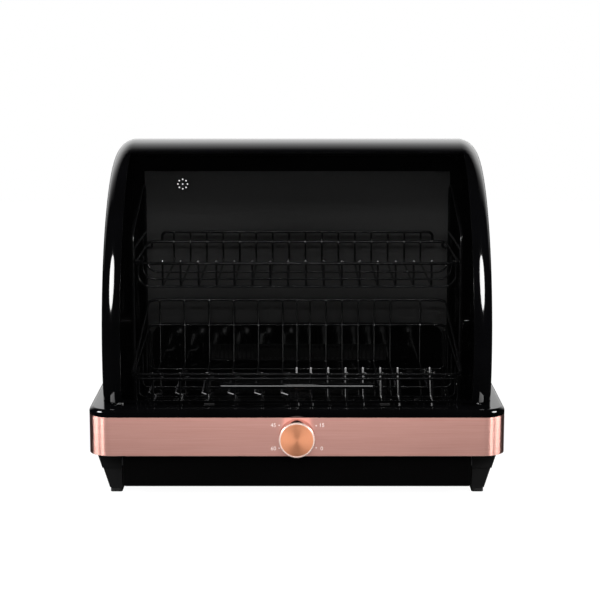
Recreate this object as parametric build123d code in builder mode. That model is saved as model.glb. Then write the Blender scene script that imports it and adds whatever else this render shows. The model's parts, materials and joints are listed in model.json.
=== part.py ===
from build123d import *

import math
import os

# Dish sterilizer cabinet for a worktop. Millimetres, +Z up, +X to the right as seen from the front,
# the front faces -Y. The origin is the centre of the bounding box at the foot pads' underside.
# A depth is a distance behind the front face of the metal band.

os.makedirs("parts", exist_ok=True)

# ---- Clearances ----
RUN_GAP = 0.3          # faces that move past each other
SEAT_GAP = 0.05        # parts that drop into an opening, and wires welded across each other
BORE_GAP = 0.05        # radial, for a shaft or screw in its hole

# ---- Base ----
BASE_WIDTH = 490.0
BASE_DEPTH = 370.0
BASE_CORNER = 27.0     # plan radius
BASE_WALL = 2.5
BAND_BOTTOM = 49.0
BAND_HEIGHT = 46.0
BAND_THICKNESS = 1.2
DECK_THICKNESS = 3.0
LEDGE_RISE = 9.0       # from the band's top edge to the ledge
LEDGE_THICKNESS = 3.0
LEDGE_ROUNDING = 5.0
SKIRT_WIDTH = 30.2     # at the band's bottom edge
SKIRT_INSET = 8.5      # from the base's side, at the band's bottom edge
SKIRT_TAPER = 0.314    # outer face moves in by this share of the height below the band
SKIRT_FRONT = 20.0     # depth
SKIRT_END = 20.0       # from the skirt's rear end to the base's back
FOOT_HEIGHT = 24.0
FOOT_LENGTH = 50.0
FOOT_STEP = 1.0        # the foot stands in from the skirt all round
PAD_HEIGHT = 5.5
PAD_WIDTH = 14.0
PAD_CORNER = 3.0
PAD_STEM_RADIUS = 3.0
PAD_STEM_HEIGHT = 8.0

# ---- Basin ----
BASIN_FRONT = 40.0     # depth of the front inner wall
BASIN_END = 15.0       # from the rear inner wall to the base's back
BASIN_MARGIN = 23.0    # from the side inner wall to the base's side
BASIN_CORNER = 20.0
BASIN_DROP = 20.0      # from the ledge to the floor
BASIN_WALL = 2.5
DRAIN_RADIUS = 15.0
DRAIN_DEPTH = 165.0
STRAINER_RADIUS = 19.0
STRAINER_THICKNESS = 1.2
STRAINER_HOLE = 1.5
STRAINER_RINGS = ((4.5, 6), (9.3, 12))   # radius and number of holes

# ---- Drip tray and rails ----
TRAY_GAP = 1.3         # each side, between the tray front and the skirts
TRAY_BOTTOM = 10.0
TRAY_FRONT = 9.0       # depth
TRAY_LENGTH = 241.0
TRAY_FACE = 3.0
TRAY_WALL = 2.0
TRAY_TOP_GAP = 0.8     # under the deck
TRAY_RIM_DROP = 4.0    # the tray's flange lies this far under the deck
FLANGE_THICKNESS = 2.0
RAIL_THICKNESS = 2.0
RAIL_REACH = 4.5
RAIL_GAP = 1.0         # from the tray's side to the rail's edge
RAIL_WEB = 1.0
RAIL_WEB_HEIGHT = 8.0

# ---- Rear compartment ----
CHAMBER_LENGTH = 112.0 # from its front to the base's back
CHAMBER_BOTTOM = 16.0
CHAMBER_COVER = 2.0
COVER_SCREW_INSET = 20.6   # from the cover's side
GRILLE_WIDTH = 150.0
GRILLE_HEIGHT = 30.0
GRILLE_BAR = 2.5
GRILLE_PITCH = 6.0

# ---- Lid ----
LID_FRONT = 27.0       # depth of the lid's front at the pivot's height
PIVOT_HEIGHT = 160.0
LID_RADIUS = 240.0
LID_INSET = 13.0       # from the base's side to the lid's side
LID_WALL = 2.5
LID_ROUNDING = 25.0
LID_FLOAT = 1.0        # the lid's bottom edge over the ledge
LID_TAIL_DEG = 8.0     # behind the vertical
LID_LOBE = 24.0
WINDOW_INSET = 24.0    # from the lid's side to the window
WINDOW_THICKNESS = 2.0
WINDOW_TOP_DEG = 17.7  # in front of the vertical
WINDOW_SILL = 3.0      # height of the strip below the window
CUT_REACH = 10.0       # how far the window's cutter reaches inside the lid
PIN_RADIUS = 4.0
PIN_HEAD_RADIUS = 8.0
PIN_HEAD_THICKNESS = 1.4
PIN_RECESS = 1.0
BUSH_WALL = 2.0
BOSS_WALL = 4.0
BOSS_LENGTH = 10.0
HANDLE_HALF_LENGTH = 91.0
HANDLE_HEIGHT = 127.5
HANDLE_THICKNESS = 6.0
HANDLE_FRONT = 21.0    # depth
HANDLE_BLANK = 120.0   # depth of the block that the bar is cut from
HANDLE_ROUNDING = 2.0
HANDLE_SCREW_X = 85.0
HANDLE_SCREW_INSET = 3.0   # its end stays this far inside the bar
BUMPER_LENGTH = 12.0

# ---- Rear cover and back panel ----
COVER_SIDE_GAP = 1.0
COVER_TOP_GAP = 2.0
COVER_WALL = 2.5
COVER_INSET = 10.0     # from the cover's back to the base's back
COVER_FRONT = 225.0    # depth of the side walls' front edge
COVER_CROWN = 26.0     # rounding between top and back
COVER_ROUNDING = 21.5
PANEL_SPACE = 10.0     # from the panel's front face to the cover's back
PANEL_THICKNESS = 2.0
PANEL_SIDE_GAP = 23.5  # from the cover's side
PANEL_TOP_GAP = 23.5   # from the cover's crown
PANEL_SCREW_INSET = 12.3
PANEL_SCREW_DROP = 32.0
PANEL_SCREW_RISE = 10.0    # over the duct
VENT_INSET = 51.0      # from the panel's side
VENT_DROP = 38.4       # from the panel's top
VENT_RING = 6.4
VENT_HOLE = 1.1
VENT_COUNT = 8
VENT_BACK_HOLE = 10.0

# ---- Warm air duct, heater and fan ----
DUCT_DEPTH = 16.0      # in front of the panel
DUCT_SIDE_GAP = 9.0    # from the panel's side
DUCT_TOP = 145.0
DUCT_WALL = 2.0
DUCT_CORNER = 18.0
OUTLET_WIDTH = 240.0
OUTLET_HEIGHT = 22.0
OUTLET_BOTTOM = 96.0
AIR_HALF_WIDTH = 30.0
HEATER_HALF_WIDTH = 60.0
HEATER_BOTTOM = 88.0
HEATER_HEIGHT = 24.0
HEATER_WALL = 1.5
ELEMENT_THICKNESS = 3.0
ELEMENT_COUNT = 3
THERMOSTAT_RADIUS = 8.0
THERMOSTAT_THICKNESS = 7.0
SCROLL_RADIUS = 28.0
SCROLL_WALL = 1.8
SCROLL_HEIGHT = 50.0   # height of the fan's axis
IMPELLER_RADIUS = 22.0
IMPELLER_BLADES = 20
BLADE_THICKNESS = 0.8
BLADE_LENGTH = 5.0
BLADE_INSET = 1.0
BLADE_TURN_DEG = 25.0
IMPELLER_GAP = 3.0
FAN_SHAFT_RADIUS = 2.0
INLET_RADIUS = 17.0
MOTOR_RADIUS = 17.0
MOTOR_LENGTH = 34.0
MOTOR_BORE = 25.5

# ---- Lamp ----
SHADE_DEPTH = 32.0     # in front of the panel
SHADE_DROP = 18.0      # from the panel's top to the lip
SHADE_SIDE_GAP = 2.0   # from the panel's side
SHADE_WALL = 1.5
SHADE_ROUNDING = 1.4
LAMP_RADIUS = 7.0
LAMP_END_GAP = 53.0    # from the shade's end
LAMP_SPACE = 15.0      # from the panel to its axis
LAMP_DROP = 8.5        # from the panel's top to its axis
SOCKET_LENGTH = 20.0
SOCKET_WALL = 1.0
BALLAST_LENGTH = 60.0
BALLAST_WIDTH = 40.0
BALLAST_HEIGHT = 22.0
BALLAST_SPACE = 20.0   # to the compartment's front wall
BALLAST_INSET = 60.5   # from the compartment's side
BALLAST_CORNER = 2.0

# ---- Timer ----
KNOB_RADIUS = 21.0
KNOB_PROUD = 19.0
KNOB_GAP = 0.5
KNOB_WALL = 2.0
KNOB_CHAMFER = 1.0
KNOB_FACE_RADIUS = 19.0
KNOB_FACE_THICKNESS = 1.2
KNOB_HUB_RADIUS = 7.0
TIMER_HEIGHT = 72.5    # height of its axis
TIMER_WIDTH = 46.0
TIMER_TALL = 38.0
TIMER_DEPTH = 24.0
TIMER_CORNER = 3.0
SHAFT_RADIUS = 3.0
SHAFT_ROOM = 1.0       # radial, in the band and the wall
SHAFT_FLAT = 2.0       # the flat's distance from the axis
TIMER_SCREW_X = 14.0

# ---- Wire work ----
FRAME_WIRE = 4.0
FRAME_INSET = 28.0     # from the lid's side
FRAME_SPACE = 9.0      # from the rear leg to the panel
FRAME_FRONT = 160.0    # depth
FRAME_DROP = 38.0      # from the panel's top to the frame's
FRAME_SLOPE = 42.0     # from the frame's top to its front shoulder
FRAME_SHELF = 35.2     # level run at the top
FRAME_BEND = 16.0
HOOK_WIRE = 3.0
HOOK_REACH = 12.0
HOOK_DEPTHS = (175.0, 300.0)
BASKET_WIRE = 2.5
RIM_WIRE = 3.5
RIM_BEND = 12.0
BASKET_GAP = 1.25      # from the rim wire to the side frame wire
UPPER_DROP = 76.0      # from the side frames' top to the rim
UPPER_DEEP = 28.0      # from the rim to the floor
GUARD_RISE = 13.0      # from the rim to the guard rail
UPPER_FRONT = 129.0
UPPER_REAR = 333.0
UPPER_MARGIN = 34.0    # from the rim to the first cross wire
UPPER_COUNT = 16
UPPER_LONG_DEPTHS = (142.0, 203.0, 262.0)
UPPER_BEND = 18.0
CROSS_BEND = 7.0
LOWER_TOP_RAIL = 180.0
LOWER_MID_RAIL = 146.0
LOWER_FRONT_RIM = 131.0
LOWER_UNDER_RIM = 125.5
LOWER_FLOOR = 94.0
LOWER_FRONT = 75.0
LOWER_REAR = 325.0
LOWER_LONG_DEPTHS = (92.0, 128.0, 184.0, 240.0, 296.0)
LOWER_BEND = 4.0
ZIGZAG_COUNT = 6
ZIGZAG_MARGIN = 14.5   # from the rim to the first zigzag wire
ZIGZAG_MIDDLE = 19.5   # from the last zigzag wire to the middle
ZIGZAG = 10.0          # its sideways step
ZIGZAG_REAR = (264.0, 252.0, 232.0, 220.0)    # depths of its bends
ZIGZAG_FRONT = (136.0, 122.0)
HUMP_COUNT = 6
HUMP_MIDDLE = 17.0     # from the middle to the first of the row
HUMP_LONE = 40.0       # from the row to the last hump wire
HUMP_MARGIN = 34.0     # from that to the rim
HUMP_LEFT = -0.5       # the hump wire at the middle
HUMP_TOP = 127.0
HUMP_REAR = 167.0
HUMP_FRONT = 115.0
BASKET_FOOT_RADIUS = 4.0
BASKET_FOOT_MARGIN = 49.0  # from the rim

# ---- Small parts ----
SCREW_RADIUS = 1.5
SCREW_HEAD_RADIUS = 3.0
SCREW_HEAD_THICKNESS = 1.8
SCREW_LENGTH = 8.0
SCREW_BOSS_RADIUS = 4.0
GLAND_X = 150.0
GLAND_HEIGHT = 34.0
GLAND_BORE = 3.5
GLAND_COLLAR = 9.0
GLAND_BODY = 6.5
GLAND_LENGTH = 12.0
TERMINAL_X = 110.0
TERMINAL_WIDTH = 40.0
TERMINAL_DEPTH = 14.0
TERMINAL_HEIGHT = 16.0
TERMINAL_BOTTOM = 40.0
TERMINAL_WELLS = 3
WELL_DEPTH = 4.7
MAGNET_DEPTH = 80.0
MAGNET_LENGTH = 12.0
MAGNET_SIZE = 5.0
SWITCH_LENGTH = 22.0
SWITCH_INSET = 7.5     # from the base's side
CUT = 1.0              # how far a cutting tool reaches past a face

# ---- Worked out from the sizes above ----
FRONT = -(BASE_DEPTH + KNOB_PROUD) / 2 + KNOB_PROUD   # the band's front face, in Y
REAR = FRONT + BASE_DEPTH
MIDDLE = (FRONT + REAR) / 2
HALF = BASE_WIDTH / 2
SKIRT_OUTER = HALF - SKIRT_INSET
SKIRT_INNER = SKIRT_OUTER - SKIRT_WIDTH
BASIN_SIDE = HALF - BASIN_MARGIN
BAND_TOP = BAND_BOTTOM + BAND_HEIGHT
LEDGE = BAND_TOP + LEDGE_RISE
FLOOR = LEDGE - BASIN_DROP
FLOOR_UNDER = FLOOR - BASIN_WALL
DECK_TOP = BAND_BOTTOM + DECK_THICKNESS
FOOT_TOP = PAD_HEIGHT + FOOT_HEIGHT
PIVOT_Y = FRONT + LID_FRONT + LID_RADIUS
LID_HALF = HALF - LID_INSET
LID_BOTTOM = LEDGE + LID_FLOAT
WINDOW_BOTTOM = LID_BOTTOM + WINDOW_SILL
WINDOW_HALF = LID_HALF - WINDOW_INSET
COVER_HALF = LID_HALF - LID_WALL - COVER_SIDE_GAP
COVER_RADIUS = LID_RADIUS - LID_WALL - COVER_TOP_GAP
COVER_Y = REAR - COVER_INSET
PANEL_Y = COVER_Y - PANEL_SPACE
PANEL_HALF_WIDTH = COVER_HALF - PANEL_SIDE_GAP
PANEL_TOP = PIVOT_HEIGHT + COVER_RADIUS - PANEL_TOP_GAP
DUCT_Y = PANEL_Y - DUCT_DEPTH
DUCT_HALF_WIDTH = PANEL_HALF_WIDTH - DUCT_SIDE_GAP
CHAMBER_Y = REAR - CHAMBER_LENGTH
BACK_INNER = REAR - BASE_WALL
BUSH_RADIUS = PIN_RADIUS + BORE_GAP + BUSH_WALL
FRAME_OUT = LID_HALF - FRAME_INSET
FRAME_TOP = PANEL_TOP - FRAME_DROP
UPPER_RIM = FRAME_TOP - UPPER_DROP
UPPER_FLOOR = UPPER_RIM - UPPER_DEEP
UPPER_RAIL = UPPER_RIM + GUARD_RISE
BASKET_HALF = FRAME_OUT - FRAME_WIRE / 2 - BASKET_GAP - RIM_WIRE / 2
SCROLL_Y = PANEL_Y - PANEL_THICKNESS - SCROLL_RADIUS
SCROLL_HALF = AIR_HALF_WIDTH + SCROLL_WALL
TIMER_PLATE_Y = FRONT + BAND_THICKNESS + BASE_WALL
FAR = 1000.0           # past everything, for cutting tools


def finish(builder, name):
    """Labels a finished sub-part and writes it."""
    builder.part.label = name
    export_step(builder.part, f"parts/{name}.step")


def skirt_outer(height):
    """Half width over the skirts or feet at a height."""
    return SKIRT_OUTER - SKIRT_TAPER * (BAND_BOTTOM - height)


def post(radius, start, length, direction, mode=Mode.ADD):
    """Cylinder from a point along X, Y or Z."""
    plane = Plane(origin=start, z_dir=direction)
    with BuildSketch(plane) as round_face:
        Circle(radius)
    extrude(round_face.sketch, amount=length, mode=mode)


def hole(radius, start, length, direction):
    """Round hole, cut like a post."""
    post(radius, start, length, direction, Mode.SUBTRACT)


def block(low, high, mode=Mode.ADD):
    """Box between two corners."""
    size = [high[i] - low[i] for i in range(3)]
    middle = tuple((low[i] + high[i]) / 2 for i in range(3))
    with Locations(middle):
        Box(*size, mode=mode)


def rounded_block(low, high, corner, mode=Mode.ADD):
    """Box between two corners, with rounded upright edges."""
    with BuildSketch(Plane.XY.offset(low[2])) as plan:
        with Locations(((low[0] + high[0]) / 2, (low[1] + high[1]) / 2)):
            RectangleRounded(high[0] - low[0], high[1] - low[1], corner)
    extrude(plan.sketch, amount=high[2] - low[2], mode=mode)


def bent_wire(points, bend, diameter):
    """Adds one wire of straight runs with rounded bends."""
    with BuildLine() as path:
        FilletPolyline(*points, radius=bend)
    with BuildSketch(Plane(origin=path.line @ 0, z_dir=path.line % 0)) as section:
        Circle(diameter / 2)
    sweep(section.sketch, path=path.line)


def ring_wire(points, bend, diameter):
    """Adds one closed wire loop with rounded corners."""
    with BuildLine() as path:
        FilletPolyline(*points, radius=bend, close=True)
    loop = path.wire()
    with BuildSketch(Plane(origin=loop @ 0, z_dir=loop % 0)) as section:
        Circle(diameter / 2)
    sweep(section.sketch, path=loop)


def on_lid(radius, degrees_forward):
    """Point (y, z) on a circle about the pivot, by its angle in front of the vertical."""
    angle = math.radians(degrees_forward)
    return (PIVOT_Y - radius * math.sin(angle), PIVOT_HEIGHT + radius * math.cos(angle))


def level_on_lid(radius, height):
    """Front point (y, z) of a circle about the pivot at a height."""
    return (PIVOT_Y - math.sqrt(radius**2 - (PIVOT_HEIGHT - height) ** 2), height)


def lid_form(half_width, radius, rounding, bottom, tail_deg, lobe):
    """Solid outline of the lid: an arc about the pivot, closed behind by a line to a round lobe."""
    with BuildPart() as form:
        with BuildSketch(Plane.YZ) as side:
            with BuildLine():
                tail = on_lid(radius, -tail_deg)
                ThreePointArc(level_on_lid(radius, bottom), on_lid(radius, 45), tail)
                back = (PIVOT_Y + lobe, PIVOT_HEIGHT)
                low = (PIVOT_Y, PIVOT_HEIGHT - lobe)
                turn = lobe * math.sqrt(0.5)
                Line(tail, back)
                ThreePointArc(back, (PIVOT_Y + turn, PIVOT_HEIGHT - turn), low)
                Polyline(low, (PIVOT_Y - lobe, bottom), level_on_lid(radius, bottom))
            make_face()
        extrude(side.sketch, amount=half_width, both=True)
        rims = form.edges().filter_by(GeomType.CIRCLE).filter_by(lambda e: e.radius > radius - CUT)
        fillet(rims, radius=rounding)
    return form.part


def cover_form(half_width, radius, back, front, bottom, crown, rounding):
    """Solid outline of the rear cover: upright front edge, top arc about the pivot, flat back."""
    with BuildPart() as form:
        with BuildSketch(Plane.YZ) as side:
            with BuildLine():
                top_front = (front, PIVOT_HEIGHT + math.sqrt(radius**2 - (front - PIVOT_Y) ** 2))
                top_back = (back, PIVOT_HEIGHT + math.sqrt(radius**2 - (back - PIVOT_Y) ** 2))
                ThreePointArc(top_front, (PIVOT_Y, PIVOT_HEIGHT + radius), top_back)
                Polyline(top_back, (back, bottom), (front, bottom), top_front)
            make_face()
            fillet(side.vertices().group_by(Axis.X)[-1].sort_by(Axis.Y)[-1], radius=crown)
        extrude(side.sketch, amount=half_width, both=True)
        flanks = form.faces().filter_by(Axis.X)
        rims = flanks.edges().filter_by(lambda e: e.center().Y > front + CUT and e.center().Z > bottom + CUT)
        fillet(rims, radius=rounding)
    return form.part


# ================= Base =================
skirt_length = BASE_DEPTH - SKIRT_FRONT - SKIRT_END
plate_hole = BAND_THICKNESS + BASE_WALL + 2 * CUT    # through the band and the wall behind it
with BuildPart() as base_housing:
    shell_half = HALF - BAND_THICKNESS
    shell_front = FRONT + BAND_THICKNESS
    rounded_block((-shell_half, shell_front, BAND_BOTTOM), (shell_half, REAR, BAND_TOP),
                  BASE_CORNER - BAND_THICKNESS)
    rounded_block((-shell_half + BASE_WALL, shell_front + BASE_WALL, DECK_TOP),
                  (shell_half - BASE_WALL, BACK_INNER, BAND_TOP),
                  BASE_CORNER - BAND_THICKNESS - BASE_WALL, Mode.SUBTRACT)
    # Rear compartment under the deck.
    block((-SKIRT_INNER, CHAMBER_Y, CHAMBER_BOTTOM), (SKIRT_INNER, REAR, BAND_BOTTOM))
    block((-SKIRT_INNER + BASE_WALL, CHAMBER_Y + BASE_WALL, CHAMBER_BOTTOM),
          (SKIRT_INNER - BASE_WALL, BACK_INNER, DECK_TOP), Mode.SUBTRACT)
    # Tapered skirts on both sides, open below.
    for side in (1, -1):
        with BuildSketch(Plane.XZ.offset(-(FRONT + SKIRT_FRONT))) as skirt:
            with BuildLine():
                Polyline((side * SKIRT_INNER, FOOT_TOP), (side * skirt_outer(FOOT_TOP), FOOT_TOP),
                         (side * SKIRT_OUTER, BAND_BOTTOM), (side * SKIRT_INNER, BAND_BOTTOM),
                         close=True)
            make_face()
        extrude(skirt.sketch, amount=-skirt_length)
        inner = SKIRT_INNER + BASE_WALL
        with BuildSketch(Plane.XZ.offset(-(FRONT + SKIRT_FRONT + BASE_WALL))) as hollow:
            with BuildLine():
                Polyline((side * inner, FOOT_TOP + BASE_WALL),
                         (side * (skirt_outer(FOOT_TOP) - BASE_WALL), FOOT_TOP + BASE_WALL),
                         (side * (SKIRT_OUTER - BASE_WALL), BAND_BOTTOM),
                         (side * inner, BAND_BOTTOM), close=True)
            make_face()
        extrude(hollow.sketch, amount=-(skirt_length - 2 * BASE_WALL), mode=Mode.SUBTRACT)
    # Drain, air intake, timer bush, timer screws and cord holes.
    hole(DRAIN_RADIUS, (0, FRONT + DRAIN_DEPTH, BAND_BOTTOM - CUT), DECK_THICKNESS + 2 * CUT, (0, 0, 1))
    grille_bottom = DECK_TOP + BASE_WALL
    block((-GRILLE_WIDTH / 2, BACK_INNER - CUT, grille_bottom),
          (GRILLE_WIDTH / 2, REAR + CUT, grille_bottom + GRILLE_HEIGHT), Mode.SUBTRACT)
    hole(SHAFT_RADIUS + SHAFT_ROOM, (0, FRONT - CUT, TIMER_HEIGHT), plate_hole, (0, 1, 0))
    for side in (1, -1):
        hole(SCREW_RADIUS + BORE_GAP, (side * TIMER_SCREW_X, FRONT - CUT, TIMER_HEIGHT), plate_hole,
             (0, 1, 0))
    hole(GLAND_BODY + BORE_GAP, (GLAND_X, REAR + CUT, GLAND_HEIGHT), BASE_WALL + 2 * CUT, (0, -1, 0))
finish(base_housing, "base_housing")

with BuildPart() as trim_band:
    rounded_block((-HALF, FRONT, BAND_BOTTOM), (HALF, REAR, BAND_TOP), BASE_CORNER)
    rounded_block((-HALF + BAND_THICKNESS, FRONT + BAND_THICKNESS, BAND_BOTTOM),
                  (HALF - BAND_THICKNESS, REAR, BAND_TOP), BASE_CORNER - BAND_THICKNESS, Mode.SUBTRACT)
    block((-FAR, REAR - BASE_CORNER, 0), (FAR, FAR, FAR), Mode.SUBTRACT)
    hole(SHAFT_RADIUS + SHAFT_ROOM, (0, FRONT - CUT, TIMER_HEIGHT), plate_hole, (0, 1, 0))
    for side in (1, -1):
        hole(SCREW_RADIUS + BORE_GAP, (side * TIMER_SCREW_X, FRONT - CUT, TIMER_HEIGHT), plate_hole,
             (0, 1, 0))
finish(trim_band, "trim_band")

with BuildPart() as basin:
    rounded_block((-HALF, FRONT, BAND_TOP), (HALF, REAR, LEDGE), BASE_CORNER)
    fillet(basin.faces().sort_by(Axis.Z)[-1].edges(), radius=LEDGE_ROUNDING)
    rounded_block((-HALF + BASE_WALL, FRONT + BASE_WALL, BAND_TOP),
                  (HALF - BASE_WALL, REAR - BASE_WALL, LEDGE - LEDGE_THICKNESS),
                  BASE_CORNER - BASE_WALL, Mode.SUBTRACT)
    rounded_block((-BASIN_SIDE - BASIN_WALL, FRONT + BASIN_FRONT - BASIN_WALL, FLOOR_UNDER),
                  (BASIN_SIDE + BASIN_WALL, REAR - BASIN_END + BASIN_WALL, LEDGE - LEDGE_THICKNESS),
                  BASIN_CORNER + BASIN_WALL)
    rounded_block((-BASIN_SIDE, FRONT + BASIN_FRONT, FLOOR), (BASIN_SIDE, REAR - BASIN_END, LEDGE),
                  BASIN_CORNER, Mode.SUBTRACT)
    hole(DRAIN_RADIUS, (0, FRONT + DRAIN_DEPTH, FLOOR_UNDER - CUT), BASIN_WALL + 2 * CUT, (0, 0, 1))
    # Warm air comes up through the floor into the duct.
    block((-AIR_HALF_WIDTH, DUCT_Y + DUCT_WALL, FLOOR_UNDER - CUT),
          (AIR_HALF_WIDTH, PANEL_Y - PANEL_THICKNESS, FLOOR + CUT), Mode.SUBTRACT)
finish(basin, "basin")

with BuildPart() as drain_strainer:
    post(STRAINER_RADIUS, (0, FRONT + DRAIN_DEPTH, FLOOR), STRAINER_THICKNESS, (0, 0, 1))
    post(DRAIN_RADIUS - BORE_GAP, (0, FRONT + DRAIN_DEPTH, FLOOR_UNDER), BASIN_WALL, (0, 0, 1))
    hole(DRAIN_RADIUS - BASE_WALL, (0, FRONT + DRAIN_DEPTH, FLOOR_UNDER), BASIN_WALL, (0, 0, 1))
    with BuildSketch(Plane.XY.offset(FLOOR)) as perforation:
        with Locations((0, FRONT + DRAIN_DEPTH)):
            for ring_radius, hole_count in STRAINER_RINGS:
                with PolarLocations(ring_radius, hole_count):
                    Circle(STRAINER_HOLE)
    extrude(perforation.sketch, amount=STRAINER_THICKNESS, mode=Mode.SUBTRACT)
finish(drain_strainer, "drain_strainer")

foot_depths = (SKIRT_FRONT + FOOT_STEP, BASE_DEPTH - SKIRT_END - FOOT_LENGTH - FOOT_STEP)
pad_inner = SKIRT_INNER + FOOT_STEP
with BuildPart() as feet:
    for side in (1, -1):
        for depth in foot_depths:
            with BuildSketch(Plane.XZ.offset(-(FRONT + depth))) as foot:
                with BuildLine():
                    Polyline((side * pad_inner, PAD_HEIGHT),
                             (side * (skirt_outer(PAD_HEIGHT) - FOOT_STEP), PAD_HEIGHT),
                             (side * (skirt_outer(FOOT_TOP) - FOOT_STEP), FOOT_TOP),
                             (side * pad_inner, FOOT_TOP), close=True)
                make_face()
            extrude(foot.sketch, amount=-FOOT_LENGTH)
            hole(PAD_STEM_RADIUS + BORE_GAP,
                 (side * (pad_inner + PAD_WIDTH / 2), FRONT + depth + FOOT_LENGTH / 2, PAD_HEIGHT),
                 PAD_STEM_HEIGHT + CUT, (0, 0, 1))
finish(feet, "feet")

with BuildPart() as foot_pads:
    for side in (1, -1):
        for depth in foot_depths:
            middle = side * (pad_inner + PAD_WIDTH / 2)
            rounded_block((middle - PAD_WIDTH / 2, FRONT + depth + FOOT_STEP, 0),
                          (middle + PAD_WIDTH / 2, FRONT + depth + FOOT_LENGTH - FOOT_STEP, PAD_HEIGHT),
                          PAD_CORNER)
            post(PAD_STEM_RADIUS, (middle, FRONT + depth + FOOT_LENGTH / 2, PAD_HEIGHT), PAD_STEM_HEIGHT,
                 (0, 0, 1))
finish(foot_pads, "foot_pads")

with BuildPart() as bottom_cover:
    block((-SKIRT_INNER, CHAMBER_Y, CHAMBER_BOTTOM - CHAMBER_COVER), (SKIRT_INNER, REAR, CHAMBER_BOTTOM))
    for side in (1, -1):
        for depth in (CHAMBER_Y + BASE_WALL / 2, REAR - BASE_WALL / 2):
            hole(SCREW_RADIUS / 2, (side * (SKIRT_INNER - COVER_SCREW_INSET), depth, 0), FAR, (0, 0, 1))
finish(bottom_cover, "bottom_cover")

with BuildPart() as intake_grille:
    block((-GRILLE_WIDTH / 2 + SEAT_GAP, BACK_INNER, grille_bottom + SEAT_GAP),
          (GRILLE_WIDTH / 2 - SEAT_GAP, REAR, grille_bottom + GRILLE_HEIGHT - SEAT_GAP))
    slot_count = int((GRILLE_HEIGHT - 2 * GRILLE_BAR) // GRILLE_PITCH)
    for row in range(slot_count):
        low = grille_bottom + GRILLE_HEIGHT / 2 + (row - slot_count / 2) * GRILLE_PITCH + GRILLE_BAR / 2
        for side in (1, -1):
            ends = sorted((side * GRILLE_BAR, side * (GRILLE_WIDTH / 2 - 2 * GRILLE_BAR)))
            block((ends[0], BACK_INNER - CUT, low), (ends[1], REAR + CUT, low + GRILLE_PITCH - GRILLE_BAR),
                  Mode.SUBTRACT)
finish(intake_grille, "intake_grille")

# ================= Drip tray =================
tray_half = SKIRT_INNER - TRAY_GAP
tray_body_half = SKIRT_INNER - RAIL_REACH - RAIL_THICKNESS
flange_top = BAND_BOTTOM - TRAY_RIM_DROP
tray_y = FRONT + TRAY_FRONT
with BuildPart() as drip_tray:
    block((-tray_body_half, tray_y, TRAY_BOTTOM), (tray_body_half, tray_y + TRAY_LENGTH, flange_top))
    block((-tray_half + RUN_GAP, tray_y, flange_top - FLANGE_THICKNESS),
          (tray_half - RUN_GAP, tray_y + TRAY_LENGTH, flange_top))
    block((-tray_half, tray_y, TRAY_BOTTOM), (tray_half, tray_y + TRAY_FACE, BAND_BOTTOM - TRAY_TOP_GAP))
    block((-tray_body_half + TRAY_WALL, tray_y + TRAY_FACE, TRAY_BOTTOM + TRAY_WALL),
          (tray_body_half - TRAY_WALL, tray_y + TRAY_LENGTH - TRAY_WALL, flange_top + CUT), Mode.SUBTRACT)
    low_corners = drip_tray.edges().filter_by(Axis.Y).group_by(Axis.Z)[0].sort_by(Axis.X)
    fillet([low_corners[0], low_corners[-1]], radius=TRAY_FACE)
finish(drip_tray, "drip_tray")

for side, name in ((-1, "tray_rail_left"), (1, "tray_rail_right")):
    with BuildPart() as tray_rail:
        rail_top = flange_top - FLANGE_THICKNESS - RUN_GAP
        ends = sorted((side * (tray_body_half + RAIL_GAP), side * SKIRT_INNER))
        block((ends[0], tray_y + TRAY_FACE + RUN_GAP, rail_top - RAIL_THICKNESS),
              (ends[1], CHAMBER_Y, rail_top))
        web = sorted((side * (SKIRT_INNER - RAIL_WEB), side * SKIRT_INNER))
        block((web[0], tray_y + TRAY_FACE + RUN_GAP, rail_top - RAIL_WEB_HEIGHT),
              (web[1], CHAMBER_Y, rail_top))
    finish(tray_rail, name)

# ================= Timer =================
with BuildPart() as timer_body:
    timer_low = TIMER_HEIGHT - TIMER_TALL / 2
    block((-TIMER_WIDTH / 2, TIMER_PLATE_Y, timer_low),
          (TIMER_WIDTH / 2, TIMER_PLATE_Y + TIMER_DEPTH, timer_low + TIMER_TALL))
    fillet(timer_body.edges().filter_by(Axis.Y), radius=TIMER_CORNER)
    hole(SHAFT_RADIUS + BORE_GAP, (0, TIMER_PLATE_Y - CUT, TIMER_HEIGHT), TIMER_DEPTH / 2 + CUT, (0, 1, 0))
    for side in (1, -1):
        hole(SCREW_RADIUS + BORE_GAP, (side * TIMER_SCREW_X, TIMER_PLATE_Y - CUT, TIMER_HEIGHT),
             SCREW_LENGTH + CUT, (0, 1, 0))
finish(timer_body, "timer_body")

with BuildPart() as timer_screws:
    for side in (1, -1):
        post(SCREW_HEAD_RADIUS, (side * TIMER_SCREW_X, FRONT, TIMER_HEIGHT), SCREW_HEAD_THICKNESS,
             (0, -1, 0))
        post(SCREW_RADIUS, (side * TIMER_SCREW_X, FRONT, TIMER_HEIGHT),
             TIMER_PLATE_Y - FRONT + SCREW_LENGTH, (0, 1, 0))
finish(timer_screws, "timer_screws")

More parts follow.
